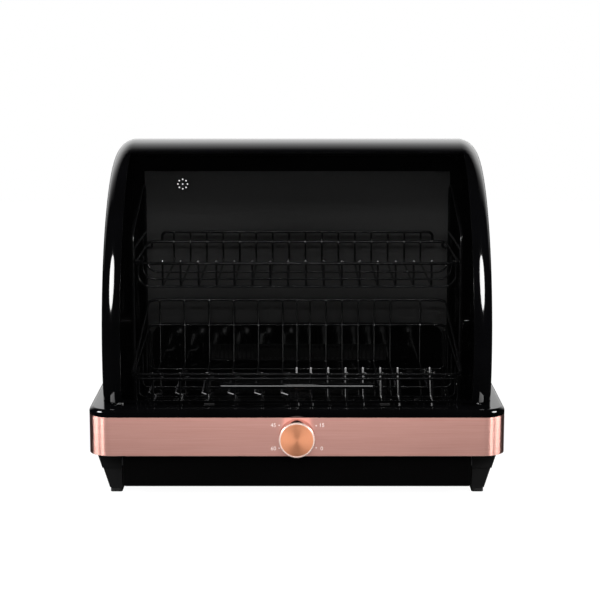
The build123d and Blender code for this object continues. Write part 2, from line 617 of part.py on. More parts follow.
knob_front = FRONT - KNOB_PROUD
knob_back = FRONT - KNOB_GAP
face_seat = knob_front + KNOB_FACE_THICKNESS
hub_end = knob_front + KNOB_FACE_THICKNESS + KNOB_WALL
with BuildPart() as knob:
    post(KNOB_RADIUS, (0, knob_back, TIMER_HEIGHT), knob_back - knob_front, (0, -1, 0))
    chamfer(knob.faces().sort_by(Axis.Y)[0].edges(), length=KNOB_CHAMFER)
    hole(KNOB_FACE_RADIUS, (0, face_seat, TIMER_HEIGHT), KNOB_FACE_THICKNESS, (0, -1, 0))
    hole(KNOB_RADIUS - KNOB_WALL, (0, knob_back, TIMER_HEIGHT), knob_back - hub_end, (0, -1, 0))
    post(KNOB_HUB_RADIUS, (0, knob_back, TIMER_HEIGHT), knob_back - hub_end, (0, -1, 0))
    hole(SHAFT_RADIUS + BORE_GAP, (0, knob_back, TIMER_HEIGHT), knob_back - hub_end, (0, -1, 0))
finish(knob, "knob")

with BuildPart() as knob_face:
    post(KNOB_FACE_RADIUS - BORE_GAP, (0, face_seat, TIMER_HEIGHT), KNOB_FACE_THICKNESS, (0, -1, 0))
finish(knob_face, "knob_face")

with BuildPart() as timer_shaft:
    shaft_end = TIMER_PLATE_Y + TIMER_DEPTH / 2 - RUN_GAP
    post(SHAFT_RADIUS, (0, hub_end, TIMER_HEIGHT), shaft_end - hub_end, (0, 1, 0))
    block((-SHAFT_RADIUS, hub_end, TIMER_HEIGHT + SHAFT_FLAT),
          (SHAFT_RADIUS, knob_back, TIMER_HEIGHT + SHAFT_RADIUS), Mode.SUBTRACT)
finish(timer_shaft, "timer_shaft")

# ================= Rear cover and back panel =================
cover_outer = cover_form(COVER_HALF, COVER_RADIUS, COVER_Y, FRONT + COVER_FRONT, LEDGE, COVER_CROWN,
                         COVER_ROUNDING)
cover_inner = cover_form(COVER_HALF - COVER_WALL, COVER_RADIUS - COVER_WALL, COVER_Y - COVER_WALL,
                         FRONT + COVER_FRONT - BASE_WALL, LEDGE - BASE_WALL, COVER_CROWN - COVER_WALL,
                         COVER_ROUNDING - COVER_WALL)
boss_radius = BUSH_RADIUS + BORE_GAP + BOSS_WALL
boss_end = COVER_HALF - COVER_WALL
panel_screw_places = [(side * (PANEL_HALF_WIDTH - PANEL_SCREW_INSET), height) for side in (1, -1)
                      for height in (DUCT_TOP + PANEL_SCREW_RISE, PANEL_TOP - PANEL_SCREW_DROP)]
VENT_X = -(PANEL_HALF_WIDTH - VENT_INSET)
VENT_HEIGHT = PANEL_TOP - VENT_DROP
with BuildPart() as rear_cover:
    add(cover_outer)
    add(cover_inner, mode=Mode.SUBTRACT)
    for side in (1, -1):
        post(boss_radius, (side * boss_end, PIVOT_Y, PIVOT_HEIGHT), BOSS_LENGTH, (-side, 0, 0))
        hole(BUSH_RADIUS + BORE_GAP, (side * (COVER_HALF + CUT), PIVOT_Y, PIVOT_HEIGHT),
             BOSS_LENGTH + COVER_WALL + 2 * CUT, (-side, 0, 0))
    for x, z in panel_screw_places:
        post(SCREW_BOSS_RADIUS, (x, COVER_Y - COVER_WALL, z),
             COVER_Y - COVER_WALL - PANEL_Y - PANEL_THICKNESS, (0, -1, 0))
        hole(SCREW_RADIUS + BORE_GAP, (x, PANEL_Y, z), SCREW_LENGTH, (0, 1, 0))
    hole(VENT_BACK_HOLE, (VENT_X, COVER_Y + CUT, VENT_HEIGHT), COVER_WALL + 2 * CUT, (0, -1, 0))
finish(rear_cover, "rear_cover")

with BuildPart() as back_panel:
    block((-PANEL_HALF_WIDTH, PANEL_Y, FLOOR), (PANEL_HALF_WIDTH, PANEL_Y + PANEL_THICKNESS, PANEL_TOP))
    with BuildSketch(Plane.XZ.offset(-PANEL_Y)) as vents:
        with Locations((VENT_X, VENT_HEIGHT)):
            Circle(VENT_HOLE)
            with PolarLocations(VENT_RING, VENT_COUNT):
                Circle(VENT_HOLE)
        for x, z in panel_screw_places:
            with Locations((x, z)):
                Circle(SCREW_RADIUS + BORE_GAP)
    extrude(vents.sketch, amount=-PANEL_THICKNESS, mode=Mode.SUBTRACT)
finish(back_panel, "back_panel")

with BuildPart() as panel_screws:
    for x, z in panel_screw_places:
        post(SCREW_HEAD_RADIUS, (x, PANEL_Y, z), SCREW_HEAD_THICKNESS, (0, -1, 0))
        post(SCREW_RADIUS, (x, PANEL_Y, z), SCREW_LENGTH - RUN_GAP, (0, 1, 0))
finish(panel_screws, "panel_screws")

# ================= Lid =================
lid_outer = lid_form(LID_HALF, LID_RADIUS, LID_ROUNDING, LID_BOTTOM, LID_TAIL_DEG, LID_LOBE)
lid_inner = lid_form(LID_HALF - LID_WALL, LID_RADIUS - LID_WALL, LID_ROUNDING - LID_WALL,
                     LID_BOTTOM - 2 * LID_WALL, 3 * LID_TAIL_DEG, 3 * LID_LOBE)
ray_out = on_lid(LID_RADIUS + LID_WALL, WINDOW_TOP_DEG)
ray_in = on_lid(LID_RADIUS - CUT_REACH, WINDOW_TOP_DEG)
front_inside = PIVOT_Y - LID_RADIUS + HANDLE_BLANK / 2
with BuildPart() as lid_frame:
    add(lid_outer)
    add(lid_inner, mode=Mode.SUBTRACT)
    with BuildSketch(Plane.YZ) as window_cut:
        with BuildLine():
            front_far = (PIVOT_Y - LID_RADIUS - LID_WALL, WINDOW_BOTTOM)
            Polyline(ray_in, ray_out, (front_far[0], ray_out[1]), front_far,
                     (front_inside, WINDOW_BOTTOM), close=True)
        make_face()
    extrude(window_cut.sketch, amount=WINDOW_HALF, both=True, mode=Mode.SUBTRACT)
    for side in (1, -1):
        hole(PIN_RADIUS + BORE_GAP, (side * (LID_HALF + CUT), PIVOT_Y, PIVOT_HEIGHT), LID_WALL + 2 * CUT,
             (-side, 0, 0))
        hole(PIN_HEAD_RADIUS + BORE_GAP, (side * LID_HALF, PIVOT_Y, PIVOT_HEIGHT), PIN_RECESS,
             (-side, 0, 0))
finish(lid_frame, "lid_frame")

gap_deg = math.degrees(SEAT_GAP / LID_RADIUS)
handle_screw_end = FRONT + HANDLE_FRONT + HANDLE_SCREW_INSET
with BuildPart() as lid_window:
    with BuildSketch(Plane.YZ) as curve:
        with Locations((PIVOT_Y, PIVOT_HEIGHT)):
            Circle(LID_RADIUS)
            Circle(LID_RADIUS - WINDOW_THICKNESS, mode=Mode.SUBTRACT)
        with BuildLine():
            sill = WINDOW_BOTTOM + SEAT_GAP
            far_ray = on_lid(LID_RADIUS + LID_WALL, WINDOW_TOP_DEG + gap_deg)
            Polyline(on_lid(LID_RADIUS - CUT_REACH, WINDOW_TOP_DEG + gap_deg), far_ray,
                     (PIVOT_Y - LID_RADIUS - LID_WALL, far_ray[1]), (PIVOT_Y - LID_RADIUS - LID_WALL, sill),
                     (front_inside, sill), close=True)
        make_face(mode=Mode.INTERSECT)
    extrude(curve.sketch, amount=WINDOW_HALF - SEAT_GAP, both=True)
    for side in (1, -1):
        hole(SCREW_RADIUS + BORE_GAP, (side * HANDLE_SCREW_X, FRONT, HANDLE_HEIGHT), HANDLE_BLANK,
             (0, 1, 0))
finish(lid_window, "lid_window")

with BuildPart() as lid_handle:
    bar_low, bar_high = HANDLE_HEIGHT - HANDLE_THICKNESS / 2, HANDLE_HEIGHT + HANDLE_THICKNESS / 2
    with BuildSketch(Plane.YZ) as bar:
        with BuildLine():
            Polyline((FRONT + HANDLE_FRONT, bar_low), (FRONT + HANDLE_FRONT, bar_high),
                     (FRONT + HANDLE_BLANK, bar_high), (FRONT + HANDLE_BLANK, bar_low), close=True)
        make_face()
        with Locations((PIVOT_Y, PIVOT_HEIGHT)):
            Circle(LID_RADIUS + SEAT_GAP, mode=Mode.SUBTRACT)
    extrude(bar.sketch, amount=HANDLE_HALF_LENGTH, both=True)
    fillet(lid_handle.faces().sort_by(Axis.Y)[0].edges(), radius=HANDLE_ROUNDING)
    for side in (1, -1):
        hole(SCREW_RADIUS + BORE_GAP, (side * HANDLE_SCREW_X, handle_screw_end, HANDLE_HEIGHT),
             HANDLE_BLANK, (0, 1, 0))
finish(lid_handle, "lid_handle")

with BuildPart() as handle_screws:
    head_y = level_on_lid(LID_RADIUS - WINDOW_THICKNESS, HANDLE_HEIGHT - SCREW_HEAD_RADIUS)[0] + RUN_GAP
    for side in (1, -1):
        post(SCREW_HEAD_RADIUS, (side * HANDLE_SCREW_X, head_y, HANDLE_HEIGHT), SCREW_HEAD_THICKNESS,
             (0, 1, 0))
        start_y = handle_screw_end + RUN_GAP
        post(SCREW_RADIUS, (side * HANDLE_SCREW_X, start_y, HANDLE_HEIGHT), head_y - start_y, (0, 1, 0))
finish(handle_screws, "handle_screws")

for side, name in ((-1, "hinge_pin_left"), (1, "hinge_pin_right")):
    with BuildPart() as hinge_pin:
        seat = side * (LID_HALF - PIN_RECESS)
        post(PIN_HEAD_RADIUS, (seat, PIVOT_Y, PIVOT_HEIGHT), PIN_HEAD_THICKNESS, (side, 0, 0))
        post(PIN_RADIUS, (seat, PIVOT_Y, PIVOT_HEIGHT), abs(seat) - boss_end + BOSS_LENGTH, (-side, 0, 0))
    finish(hinge_pin, name)

for side, name in ((-1, "hinge_bush_left"), (1, "hinge_bush_right")):
    with BuildPart() as hinge_bush:
        post(BUSH_RADIUS, (side * COVER_HALF, PIVOT_Y, PIVOT_HEIGHT), COVER_WALL + BOSS_LENGTH,
             (-side, 0, 0))
        hole(PIN_RADIUS + BORE_GAP, (side * COVER_HALF, PIVOT_Y, PIVOT_HEIGHT), COVER_WALL + BOSS_LENGTH,
             (-side, 0, 0))
    finish(hinge_bush, name)

with BuildPart() as lid_bumpers:
    bumper_height = LID_FLOAT - RUN_GAP
    strip_y = level_on_lid(LID_RADIUS, LID_BOTTOM)[0]
    for side in (1, -1):
        block((side * WINDOW_HALF / 2 - BUMPER_LENGTH / 2, strip_y, LEDGE),
              (side * WINDOW_HALF / 2 + BUMPER_LENGTH / 2, strip_y + LID_WALL, LEDGE + bumper_height))
        ends = sorted((side * LID_HALF, side * (LID_HALF - LID_WALL)))
        block((ends[0], MIDDLE - BUMPER_LENGTH, LEDGE), (ends[1], MIDDLE, LEDGE + bumper_height))
finish(lid_bumpers, "lid_bumpers")

magnet_y = FRONT + MAGNET_DEPTH
with BuildPart() as lid_magnet:
    inner_side = LID_HALF - LID_WALL
    block((-inner_side, magnet_y, LID_BOTTOM),
          (-inner_side + MAGNET_SIZE, magnet_y + MAGNET_LENGTH, LID_BOTTOM + MAGNET_SIZE))
finish(lid_magnet, "lid_magnet")

with BuildPart() as reed_switch:
    under_ledge = LEDGE - LEDGE_THICKNESS
    switch_y = magnet_y + (MAGNET_LENGTH - SWITCH_LENGTH) / 2
    block((-HALF + SWITCH_INSET, switch_y, under_ledge - MAGNET_SIZE),
          (-HALF + SWITCH_INSET + MAGNET_SIZE, switch_y + SWITCH_LENGTH, under_ledge))
finish(reed_switch, "reed_switch")

# ================= Warm air =================
with BuildPart() as duct_housing:
    with BuildSketch(Plane.XZ.offset(-DUCT_Y)) as duct_front:
        with BuildLine():
            FilletPolyline((-DUCT_HALF_WIDTH, FLOOR), (-DUCT_HALF_WIDTH, DUCT_TOP),
                           (DUCT_HALF_WIDTH, DUCT_TOP), (DUCT_HALF_WIDTH, FLOOR), radius=DUCT_CORNER)
            Line((DUCT_HALF_WIDTH, FLOOR), (-DUCT_HALF_WIDTH, FLOOR))
        make_face()
    extrude(duct_front.sketch, amount=-(PANEL_Y - DUCT_Y))
    with BuildSketch(Plane.XZ.offset(-(DUCT_Y + DUCT_WALL))) as duct_inside:
        with BuildLine():
            wide, tall = DUCT_HALF_WIDTH - DUCT_WALL, DUCT_TOP - DUCT_WALL
            FilletPolyline((-wide, FLOOR), (-wide, tall), (wide, tall), (wide, FLOOR),
                           radius=DUCT_CORNER - DUCT_WALL)
            Line((wide, FLOOR), (-wide, FLOOR))
        make_face()
    extrude(duct_inside.sketch, amount=-(PANEL_Y - DUCT_Y), mode=Mode.SUBTRACT)
    block((-OUTLET_WIDTH / 2, DUCT_Y - CUT, OUTLET_BOTTOM),
          (OUTLET_WIDTH / 2, DUCT_Y + DUCT_WALL + CUT, OUTLET_BOTTOM + OUTLET_HEIGHT), Mode.SUBTRACT)
finish(duct_housing, "duct_housing")

with BuildPart() as outlet_grille:
    block((-OUTLET_WIDTH / 2 + SEAT_GAP, DUCT_Y, OUTLET_BOTTOM + SEAT_GAP),
          (OUTLET_WIDTH / 2 - SEAT_GAP, DUCT_Y + DUCT_WALL, OUTLET_BOTTOM + OUTLET_HEIGHT - SEAT_GAP))
    outlet_slots = int((OUTLET_WIDTH - 2 * GRILLE_BAR) // GRILLE_PITCH)
    with BuildSketch(Plane.XZ.offset(-DUCT_Y)) as outlet_cut:
        with Locations((0, OUTLET_BOTTOM + OUTLET_HEIGHT / 2)):
            with GridLocations(GRILLE_PITCH, 1, outlet_slots, 1):
                Rectangle(GRILLE_PITCH - GRILLE_BAR, OUTLET_HEIGHT - 2 * GRILLE_BAR)
    extrude(outlet_cut.sketch, amount=-DUCT_WALL, mode=Mode.SUBTRACT)
finish(outlet_grille, "outlet_grille")

heater_y = (DUCT_Y + DUCT_WALL, PANEL_Y)
with BuildPart() as heater_frame:
    block((-HEATER_HALF_WIDTH, heater_y[0], HEATER_BOTTOM),
          (HEATER_HALF_WIDTH, heater_y[1], HEATER_BOTTOM + HEATER_HEIGHT))
    block((-HEATER_HALF_WIDTH + HEATER_WALL, heater_y[0] + HEATER_WALL, HEATER_BOTTOM),
          (HEATER_HALF_WIDTH - HEATER_WALL, heater_y[1] - HEATER_WALL, HEATER_BOTTOM + HEATER_HEIGHT),
          Mode.SUBTRACT)
finish(heater_frame, "heater_frame")

with BuildPart() as heater_elements:
    step = (heater_y[1] - heater_y[0] - 2 * HEATER_WALL) / ELEMENT_COUNT
    for row in range(ELEMENT_COUNT):
        low = heater_y[0] + HEATER_WALL + (row + 0.5) * step - ELEMENT_THICKNESS / 2
        block((-HEATER_HALF_WIDTH + HEATER_WALL, low, HEATER_BOTTOM + HEATER_WALL),
              (HEATER_HALF_WIDTH - HEATER_WALL, low + ELEMENT_THICKNESS,
               HEATER_BOTTOM + HEATER_HEIGHT - HEATER_WALL))
finish(heater_elements, "heater_elements")

with BuildPart() as thermostat:
    post(THERMOSTAT_RADIUS, (0, PANEL_Y, HEATER_BOTTOM + HEATER_HEIGHT + 2 * THERMOSTAT_RADIUS),
         THERMOSTAT_THICKNESS, (0, -1, 0))
finish(thermostat, "thermostat")

channel_front = DUCT_Y + DUCT_WALL
channel_rear = PANEL_Y - PANEL_THICKNESS
with BuildPart() as fan_scroll:
    with BuildSketch(Plane.YZ.offset(-SCROLL_HALF)) as scroll:
        with Locations((SCROLL_Y, SCROLL_HEIGHT)):
            Circle(SCROLL_RADIUS)
        with BuildLine():
            Polyline((channel_front - SCROLL_WALL, SCROLL_HEIGHT), (channel_front - SCROLL_WALL, FLOOR_UNDER),
                     (channel_rear, FLOOR_UNDER), (channel_rear, SCROLL_HEIGHT), close=True)
        make_face()
    extrude(scroll.sketch, amount=2 * SCROLL_HALF)
    with BuildSketch(Plane.YZ.offset(-AIR_HALF_WIDTH)) as air:
        with Locations((SCROLL_Y, SCROLL_HEIGHT)):
            Circle(SCROLL_RADIUS - SCROLL_WALL)
        with BuildLine():
            Polyline((channel_front, SCROLL_HEIGHT), (channel_front, FLOOR_UNDER),
                     (channel_rear - SCROLL_WALL, FLOOR_UNDER), (channel_rear - SCROLL_WALL, SCROLL_HEIGHT),
                     close=True)
        make_face()
    extrude(air.sketch, amount=2 * AIR_HALF_WIDTH, mode=Mode.SUBTRACT)
    hole(INLET_RADIUS, (AIR_HALF_WIDTH - CUT, SCROLL_Y, SCROLL_HEIGHT), SCROLL_WALL + 2 * CUT, (1, 0, 0))
    hole(FAN_SHAFT_RADIUS + BORE_GAP, (-AIR_HALF_WIDTH + CUT, SCROLL_Y, SCROLL_HEIGHT),
         SCROLL_WALL + 2 * CUT, (-1, 0, 0))
    block((-SCROLL_HALF, SCROLL_Y - SCROLL_RADIUS / 2, CHAMBER_BOTTOM),
          (SCROLL_HALF, SCROLL_Y + SCROLL_RADIUS / 2, SCROLL_HEIGHT - SCROLL_RADIUS + SCROLL_WALL / 2))
finish(fan_scroll, "fan_scroll")

impeller_half = AIR_HALF_WIDTH - IMPELLER_GAP
with BuildPart() as fan_impeller:
    with BuildSketch(Plane.YZ.offset(-impeller_half)) as disc:
        with Locations((SCROLL_Y, SCROLL_HEIGHT)):
            Circle(IMPELLER_RADIUS)
            Circle(FAN_SHAFT_RADIUS, mode=Mode.SUBTRACT)
    extrude(disc.sketch, amount=SCROLL_WALL)
    with BuildSketch(Plane.YZ.offset(-impeller_half)) as blades:
        with Locations((SCROLL_Y, SCROLL_HEIGHT)):
            with PolarLocations(IMPELLER_RADIUS - BLADE_LENGTH / 2 - BLADE_INSET, IMPELLER_BLADES):
                Rectangle(BLADE_LENGTH, BLADE_THICKNESS, rotation=BLADE_TURN_DEG)
    extrude(blades.sketch, amount=2 * impeller_half)
    with BuildSketch(Plane.YZ.offset(impeller_half - SCROLL_WALL)) as ring:
        with Locations((SCROLL_Y, SCROLL_HEIGHT)):
            Circle(IMPELLER_RADIUS)
            Circle(IMPELLER_RADIUS - BLADE_LENGTH, mode=Mode.SUBTRACT)
    extrude(ring.sketch, amount=SCROLL_WALL)
finish(fan_impeller, "fan_impeller")

motor_face = -SCROLL_HALF - RUN_GAP
with BuildPart() as fan_shaft:
    post(FAN_SHAFT_RADIUS, (0, SCROLL_Y, SCROLL_HEIGHT), abs(motor_face) + MOTOR_LENGTH / 2, (-1, 0, 0))
finish(fan_shaft, "fan_shaft")

with BuildPart() as fan_motor:
    post(MOTOR_RADIUS, (-SCROLL_HALF, SCROLL_Y, SCROLL_HEIGHT), MOTOR_LENGTH, (-1, 0, 0))
    hole(FAN_SHAFT_RADIUS + BORE_GAP, (-SCROLL_HALF, SCROLL_Y, SCROLL_HEIGHT), MOTOR_BORE, (-1, 0, 0))
finish(fan_motor, "fan_motor")

# ================= Lamp =================
shade_y = PANEL_Y - SHADE_DEPTH
shade_top = PANEL_TOP
shade_lip = PANEL_TOP - SHADE_DROP
shade_half = PANEL_HALF_WIDTH - SHADE_SIDE_GAP
lamp_y = PANEL_Y - LAMP_SPACE
lamp_height = PANEL_TOP - LAMP_DROP
lamp_half_length = shade_half - LAMP_END_GAP
socket_half = LAMP_RADIUS + SOCKET_WALL
with BuildPart() as lamp_shade:
    with BuildSketch(Plane.YZ) as trough:
        with BuildLine():
            Polyline((PANEL_Y, shade_top), (shade_y, shade_top), (shade_y, shade_lip),
                     (shade_y + SHADE_WALL, shade_lip), (shade_y + SHADE_WALL, shade_top - SHADE_WALL),
                     (PANEL_Y, shade_top - SHADE_WALL), close=True)
        make_face()
    extrude(trough.sketch, amount=shade_half, both=True)
    top_edges = lamp_shade.edges().filter_by(Axis.X).group_by(Axis.Z)[-1]
    fillet(top_edges.sort_by(Axis.Y)[0], radius=SHADE_ROUNDING)
    for side in (1, -1):
        ends = sorted((side * shade_half, side * (shade_half - SHADE_WALL)))
        block((ends[0], shade_y + SHADE_WALL, shade_lip), (ends[1], PANEL_Y, shade_top - SHADE_WALL))
finish(lamp_shade, "lamp_shade")

with BuildPart() as uv_lamp:
    post(LAMP_RADIUS, (-lamp_half_length, lamp_y, lamp_height), 2 * lamp_half_length, (1, 0, 0))
finish(uv_lamp, "uv_lamp")

for side, name in ((-1, "lamp_socket_left"), (1, "lamp_socket_right")):
    with BuildPart() as lamp_socket:
        ends = sorted((side * (lamp_half_length - SOCKET_LENGTH / 2),
                       side * (lamp_half_length + SOCKET_LENGTH / 2)))
        block((ends[0], lamp_y - socket_half, lamp_height - socket_half),
              (ends[1], PANEL_Y, shade_top - SHADE_WALL))
        hole(LAMP_RADIUS + BORE_GAP, (side * (lamp_half_length - SOCKET_LENGTH), lamp_y, lamp_height),
             SOCKET_LENGTH, (side, 0, 0))
    finish(lamp_socket, name)

with BuildPart() as lamp_ballast:
    ballast_x = -SKIRT_INNER + BALLAST_INSET + BALLAST_LENGTH
    ballast_y = CHAMBER_Y + BASE_WALL + BALLAST_SPACE
    block((ballast_x - BALLAST_LENGTH, ballast_y, CHAMBER_BOTTOM),
          (ballast_x, ballast_y + BALLAST_WIDTH, CHAMBER_BOTTOM + BALLAST_HEIGHT))
    fillet(lamp_ballast.edges().filter_by(Axis.Z), radius=BALLAST_CORNER)
finish(lamp_ballast, "lamp_ballast")

# ================= Terminal block and cord gland =================
with BuildPart() as terminal_block:
    block((TERMINAL_X - TERMINAL_WIDTH, BACK_INNER - TERMINAL_DEPTH, TERMINAL_BOTTOM),
          (TERMINAL_X, BACK_INNER, TERMINAL_BOTTOM + TERMINAL_HEIGHT))
    with BuildSketch(Plane.XZ.offset(-(BACK_INNER - TERMINAL_DEPTH))) as wells:
        with Locations((TERMINAL_X - TERMINAL_WIDTH / 2, TERMINAL_BOTTOM + TERMINAL_HEIGHT / 2)):
            with GridLocations(TERMINAL_WIDTH / (TERMINAL_WELLS + 1), 1, TERMINAL_WELLS, 1):
                Circle(SCREW_HEAD_RADIUS)
    extrude(wells.sketch, amount=-WELL_DEPTH, mode=Mode.SUBTRACT)
finish(terminal_block, "terminal_block")

with BuildPart() as cord_gland:
    post(GLAND_BODY, (GLAND_X, REAR, GLAND_HEIGHT), GLAND_LENGTH, (0, -1, 0))
    post(GLAND_COLLAR, (GLAND_X, BACK_INNER, GLAND_HEIGHT), BASE_WALL, (0, -1, 0))
    hole(GLAND_BORE, (GLAND_X, REAR, GLAND_HEIGHT), GLAND_LENGTH, (0, -1, 0))
finish(cord_gland, "cord_gland")

# ================= Side frames =================
frame_foot_front, frame_foot_rear = FRONT + FRAME_FRONT, PANEL_Y - FRAME_SPACE
frame_shoulder = FRAME_TOP - FRAME_SLOPE
for side, name in ((-1, "side_frame_left"), (1, "side_frame_right")):
    with BuildPart() as side_frame:
        x = side * FRAME_OUT
        bent_wire([(x, frame_foot_rear, FLOOR), (x, frame_foot_rear, FRAME_TOP),
                   (x, frame_foot_rear - FRAME_SHELF, FRAME_TOP), (x, frame_foot_front, frame_shoulder),
                   (x, frame_foot_front, FLOOR)], FRAME_BEND, FRAME_WIRE)
        hook_z = UPPER_RIM - RIM_WIRE / 2 - HOOK_WIRE / 2 - RUN_GAP
        for depth in HOOK_DEPTHS:
            bent_wire([(x, FRONT + depth, hook_z + FRAME_BEND), (x, FRONT + depth, hook_z),
                       (x - side * HOOK_REACH, FRONT + depth, hook_z),
                       (x - side * HOOK_REACH, FRONT + depth, hook_z + 2 * HOOK_WIRE)], HOOK_WIRE, HOOK_WIRE)
        post(FRAME_WIRE / 2, (x, frame_foot_front, hook_z + FRAME_BEND), frame_foot_rear - frame_foot_front,
             (0, 1, 0))
    finish(side_frame, name)

# ================= Upper basket =================
upper_front, upper_rear = FRONT + UPPER_FRONT, FRONT + UPPER_REAR
with BuildPart() as upper_basket_rims:
    ring_wire([(-BASKET_HALF, upper_rear, UPPER_RIM), (BASKET_HALF, upper_rear, UPPER_RIM),
               (BASKET_HALF, upper_front, UPPER_RIM), (-BASKET_HALF, upper_front, UPPER_RIM)],
              RIM_BEND, RIM_WIRE)
    rail_end = BASKET_HALF - UPPER_BEND
    bent_wire([(-rail_end, upper_rear, UPPER_RIM), (-rail_end, upper_rear, UPPER_RAIL),
               (rail_end, upper_rear, UPPER_RAIL), (rail_end, upper_rear, UPPER_RIM)], CROSS_BEND, RIM_WIRE)
finish(upper_basket_rims, "upper_basket_rims")

weld = (RIM_WIRE + BASKET_WIRE) / 2 + SEAT_GAP
with BuildPart() as upper_cross_wires:
    for index in range(UPPER_COUNT):
        x = (index / (UPPER_COUNT - 1) * 2 - 1) * (BASKET_HALF - UPPER_MARGIN)
        bent_wire([(x, upper_rear - weld, UPPER_RAIL), (x, upper_rear - weld, UPPER_FLOOR),
                   (x, upper_front + weld, UPPER_FLOOR), (x, upper_front + weld, UPPER_RIM)],
                  CROSS_BEND, BASKET_WIRE)
finish(upper_cross_wires, "upper_cross_wires")

with BuildPart() as upper_long_wires:
    low = UPPER_FLOOR - BASKET_WIRE - SEAT_GAP
    for depth in UPPER_LONG_DEPTHS:
        reach = BASKET_HALF - weld
        bent_wire([(-reach, FRONT + depth, UPPER_RIM), (-reach, FRONT + depth, low),
                   (reach, FRONT + depth, low), (reach, FRONT + depth, UPPER_RIM)], UPPER_BEND, BASKET_WIRE)
finish(upper_long_wires, "upper_long_wires")

# ================= Lower basket =================
lower_front, lower_rear = FRONT + LOWER_FRONT, FRONT + LOWER_REAR
with BuildPart() as lower_basket_rims:
    for back_z, front_z in ((LOWER_TOP_RAIL, LOWER_FRONT_RIM), (LOWER_MID_RAIL, LOWER_UNDER_RIM)):
        ring_wire([(-BASKET_HALF, lower_rear, back_z), (BASKET_HALF, lower_rear, back_z),
                   (BASKET_HALF, lower_front, front_z), (-BASKET_HALF, lower_front, front_z)],
                  RIM_BEND, RIM_WIRE)
finish(lower_basket_rims, "lower_basket_rims")

zigzag_pitch = (BASKET_HALF - ZIGZAG_MARGIN - ZIGZAG_MIDDLE) / (ZIGZAG_COUNT - 1)
zigzag_wires = [-BASKET_HALF + ZIGZAG_MARGIN + n * zigzag_pitch for n in range(ZIGZAG_COUNT)]
hump_pitch = (BASKET_HALF - HUMP_MARGIN - HUMP_LONE - HUMP_MIDDLE) / (HUMP_COUNT - 1)
hump_wires = [HUMP_MIDDLE + n * hump_pitch for n in range(HUMP_COUNT)]
hump_wires = [HUMP_LEFT, *hump_wires, BASKET_HALF - HUMP_MARGIN]
with BuildPart() as lower_cross_wires:
    rear_y, front_y = lower_rear - weld, lower_front + weld
    for x in zigzag_wires:
        bends = zip((x, x + ZIGZAG, x + ZIGZAG, x, x, x + ZIGZAG), ZIGZAG_REAR + ZIGZAG_FRONT)
        bent_wire([(x, rear_y, LOWER_TOP_RAIL), (x, rear_y, LOWER_FLOOR),
                   *[(bend_x, FRONT + depth, LOWER_FLOOR) for bend_x, depth in bends],
                   (x + ZIGZAG, front_y, LOWER_FLOOR), (x + ZIGZAG, front_y, LOWER_FRONT_RIM)],
                  LOWER_BEND, BASKET_WIRE)
    for x in hump_wires:
        bent_wire([(x, rear_y, LOWER_TOP_RAIL), (x, rear_y, LOWER_FLOOR), (x, FRONT + HUMP_REAR, LOWER_FLOOR),
                   (x, FRONT + (HUMP_REAR + HUMP_FRONT) / 2, HUMP_TOP), (x, FRONT + HUMP_FRONT, LOWER_FLOOR),
                   (x, front_y, LOWER_FLOOR), (x, front_y, LOWER_FRONT_RIM)], LOWER_BEND, BASKET_WIRE)
finish(lower_cross_wires, "lower_cross_wires")

with BuildPart() as lower_long_wires:
    low = LOWER_FLOOR - BASKET_WIRE - SEAT_GAP
    for depth in LOWER_LONG_DEPTHS:
        reach = BASKET_HALF - weld
        share = (depth - LOWER_FRONT) / (LOWER_REAR - LOWER_FRONT)
        end_z = LOWER_UNDER_RIM + share * (LOWER_MID_RAIL - LOWER_UNDER_RIM)
        bent_wire([(-reach, FRONT + depth, end_z), (-reach, FRONT + depth, low), (reach, FRONT + depth, low),
                   (reach, FRONT + depth, end_z)], CROSS_BEND, BASKET_WIRE)
finish(lower_long_wires, "lower_long_wires")

# The feet stand on the basin's floor and hold the lowest long wires.
with BuildPart() as basket_feet:
    foot_top = LOWER_FLOOR - 1.5 * BASKET_WIRE - 2 * SEAT_GAP
    for side in (1, -1):
        for depth in (LOWER_LONG_DEPTHS[1], LOWER_LONG_DEPTHS[-1]):
            post(BASKET_FOOT_RADIUS,
                 (side * (BASKET_HALF - BASKET_FOOT_MARGIN), FRONT + depth, FLOOR + RUN_GAP),
                 foot_top - FLOOR - RUN_GAP, (0, 0, 1))
finish(basket_feet, "basket_feet")
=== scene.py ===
import json
import math

import bmesh
import bpy
from mathutils import Matrix, Vector


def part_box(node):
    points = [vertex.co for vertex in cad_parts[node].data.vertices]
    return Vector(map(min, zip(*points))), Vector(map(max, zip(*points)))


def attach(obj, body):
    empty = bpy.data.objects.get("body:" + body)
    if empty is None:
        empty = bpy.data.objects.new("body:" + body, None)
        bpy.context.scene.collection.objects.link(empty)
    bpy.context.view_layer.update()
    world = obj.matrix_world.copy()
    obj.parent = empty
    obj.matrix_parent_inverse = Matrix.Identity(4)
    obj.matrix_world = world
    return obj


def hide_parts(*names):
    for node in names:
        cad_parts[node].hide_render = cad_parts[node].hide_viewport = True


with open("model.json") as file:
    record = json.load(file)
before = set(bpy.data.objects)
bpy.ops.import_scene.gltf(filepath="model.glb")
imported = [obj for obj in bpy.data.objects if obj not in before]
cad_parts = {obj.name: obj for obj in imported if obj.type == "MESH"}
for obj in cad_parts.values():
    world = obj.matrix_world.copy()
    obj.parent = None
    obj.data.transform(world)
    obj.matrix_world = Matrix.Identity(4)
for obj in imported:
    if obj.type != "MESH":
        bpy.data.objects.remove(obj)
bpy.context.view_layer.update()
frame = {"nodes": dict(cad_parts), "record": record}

MM = 0.001
nodes = frame["nodes"]


# ---------------- Sizes read from the frame ----------------
def low(node):
    return Vector(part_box(node)[0])


def high(node):
    return Vector(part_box(node)[1])


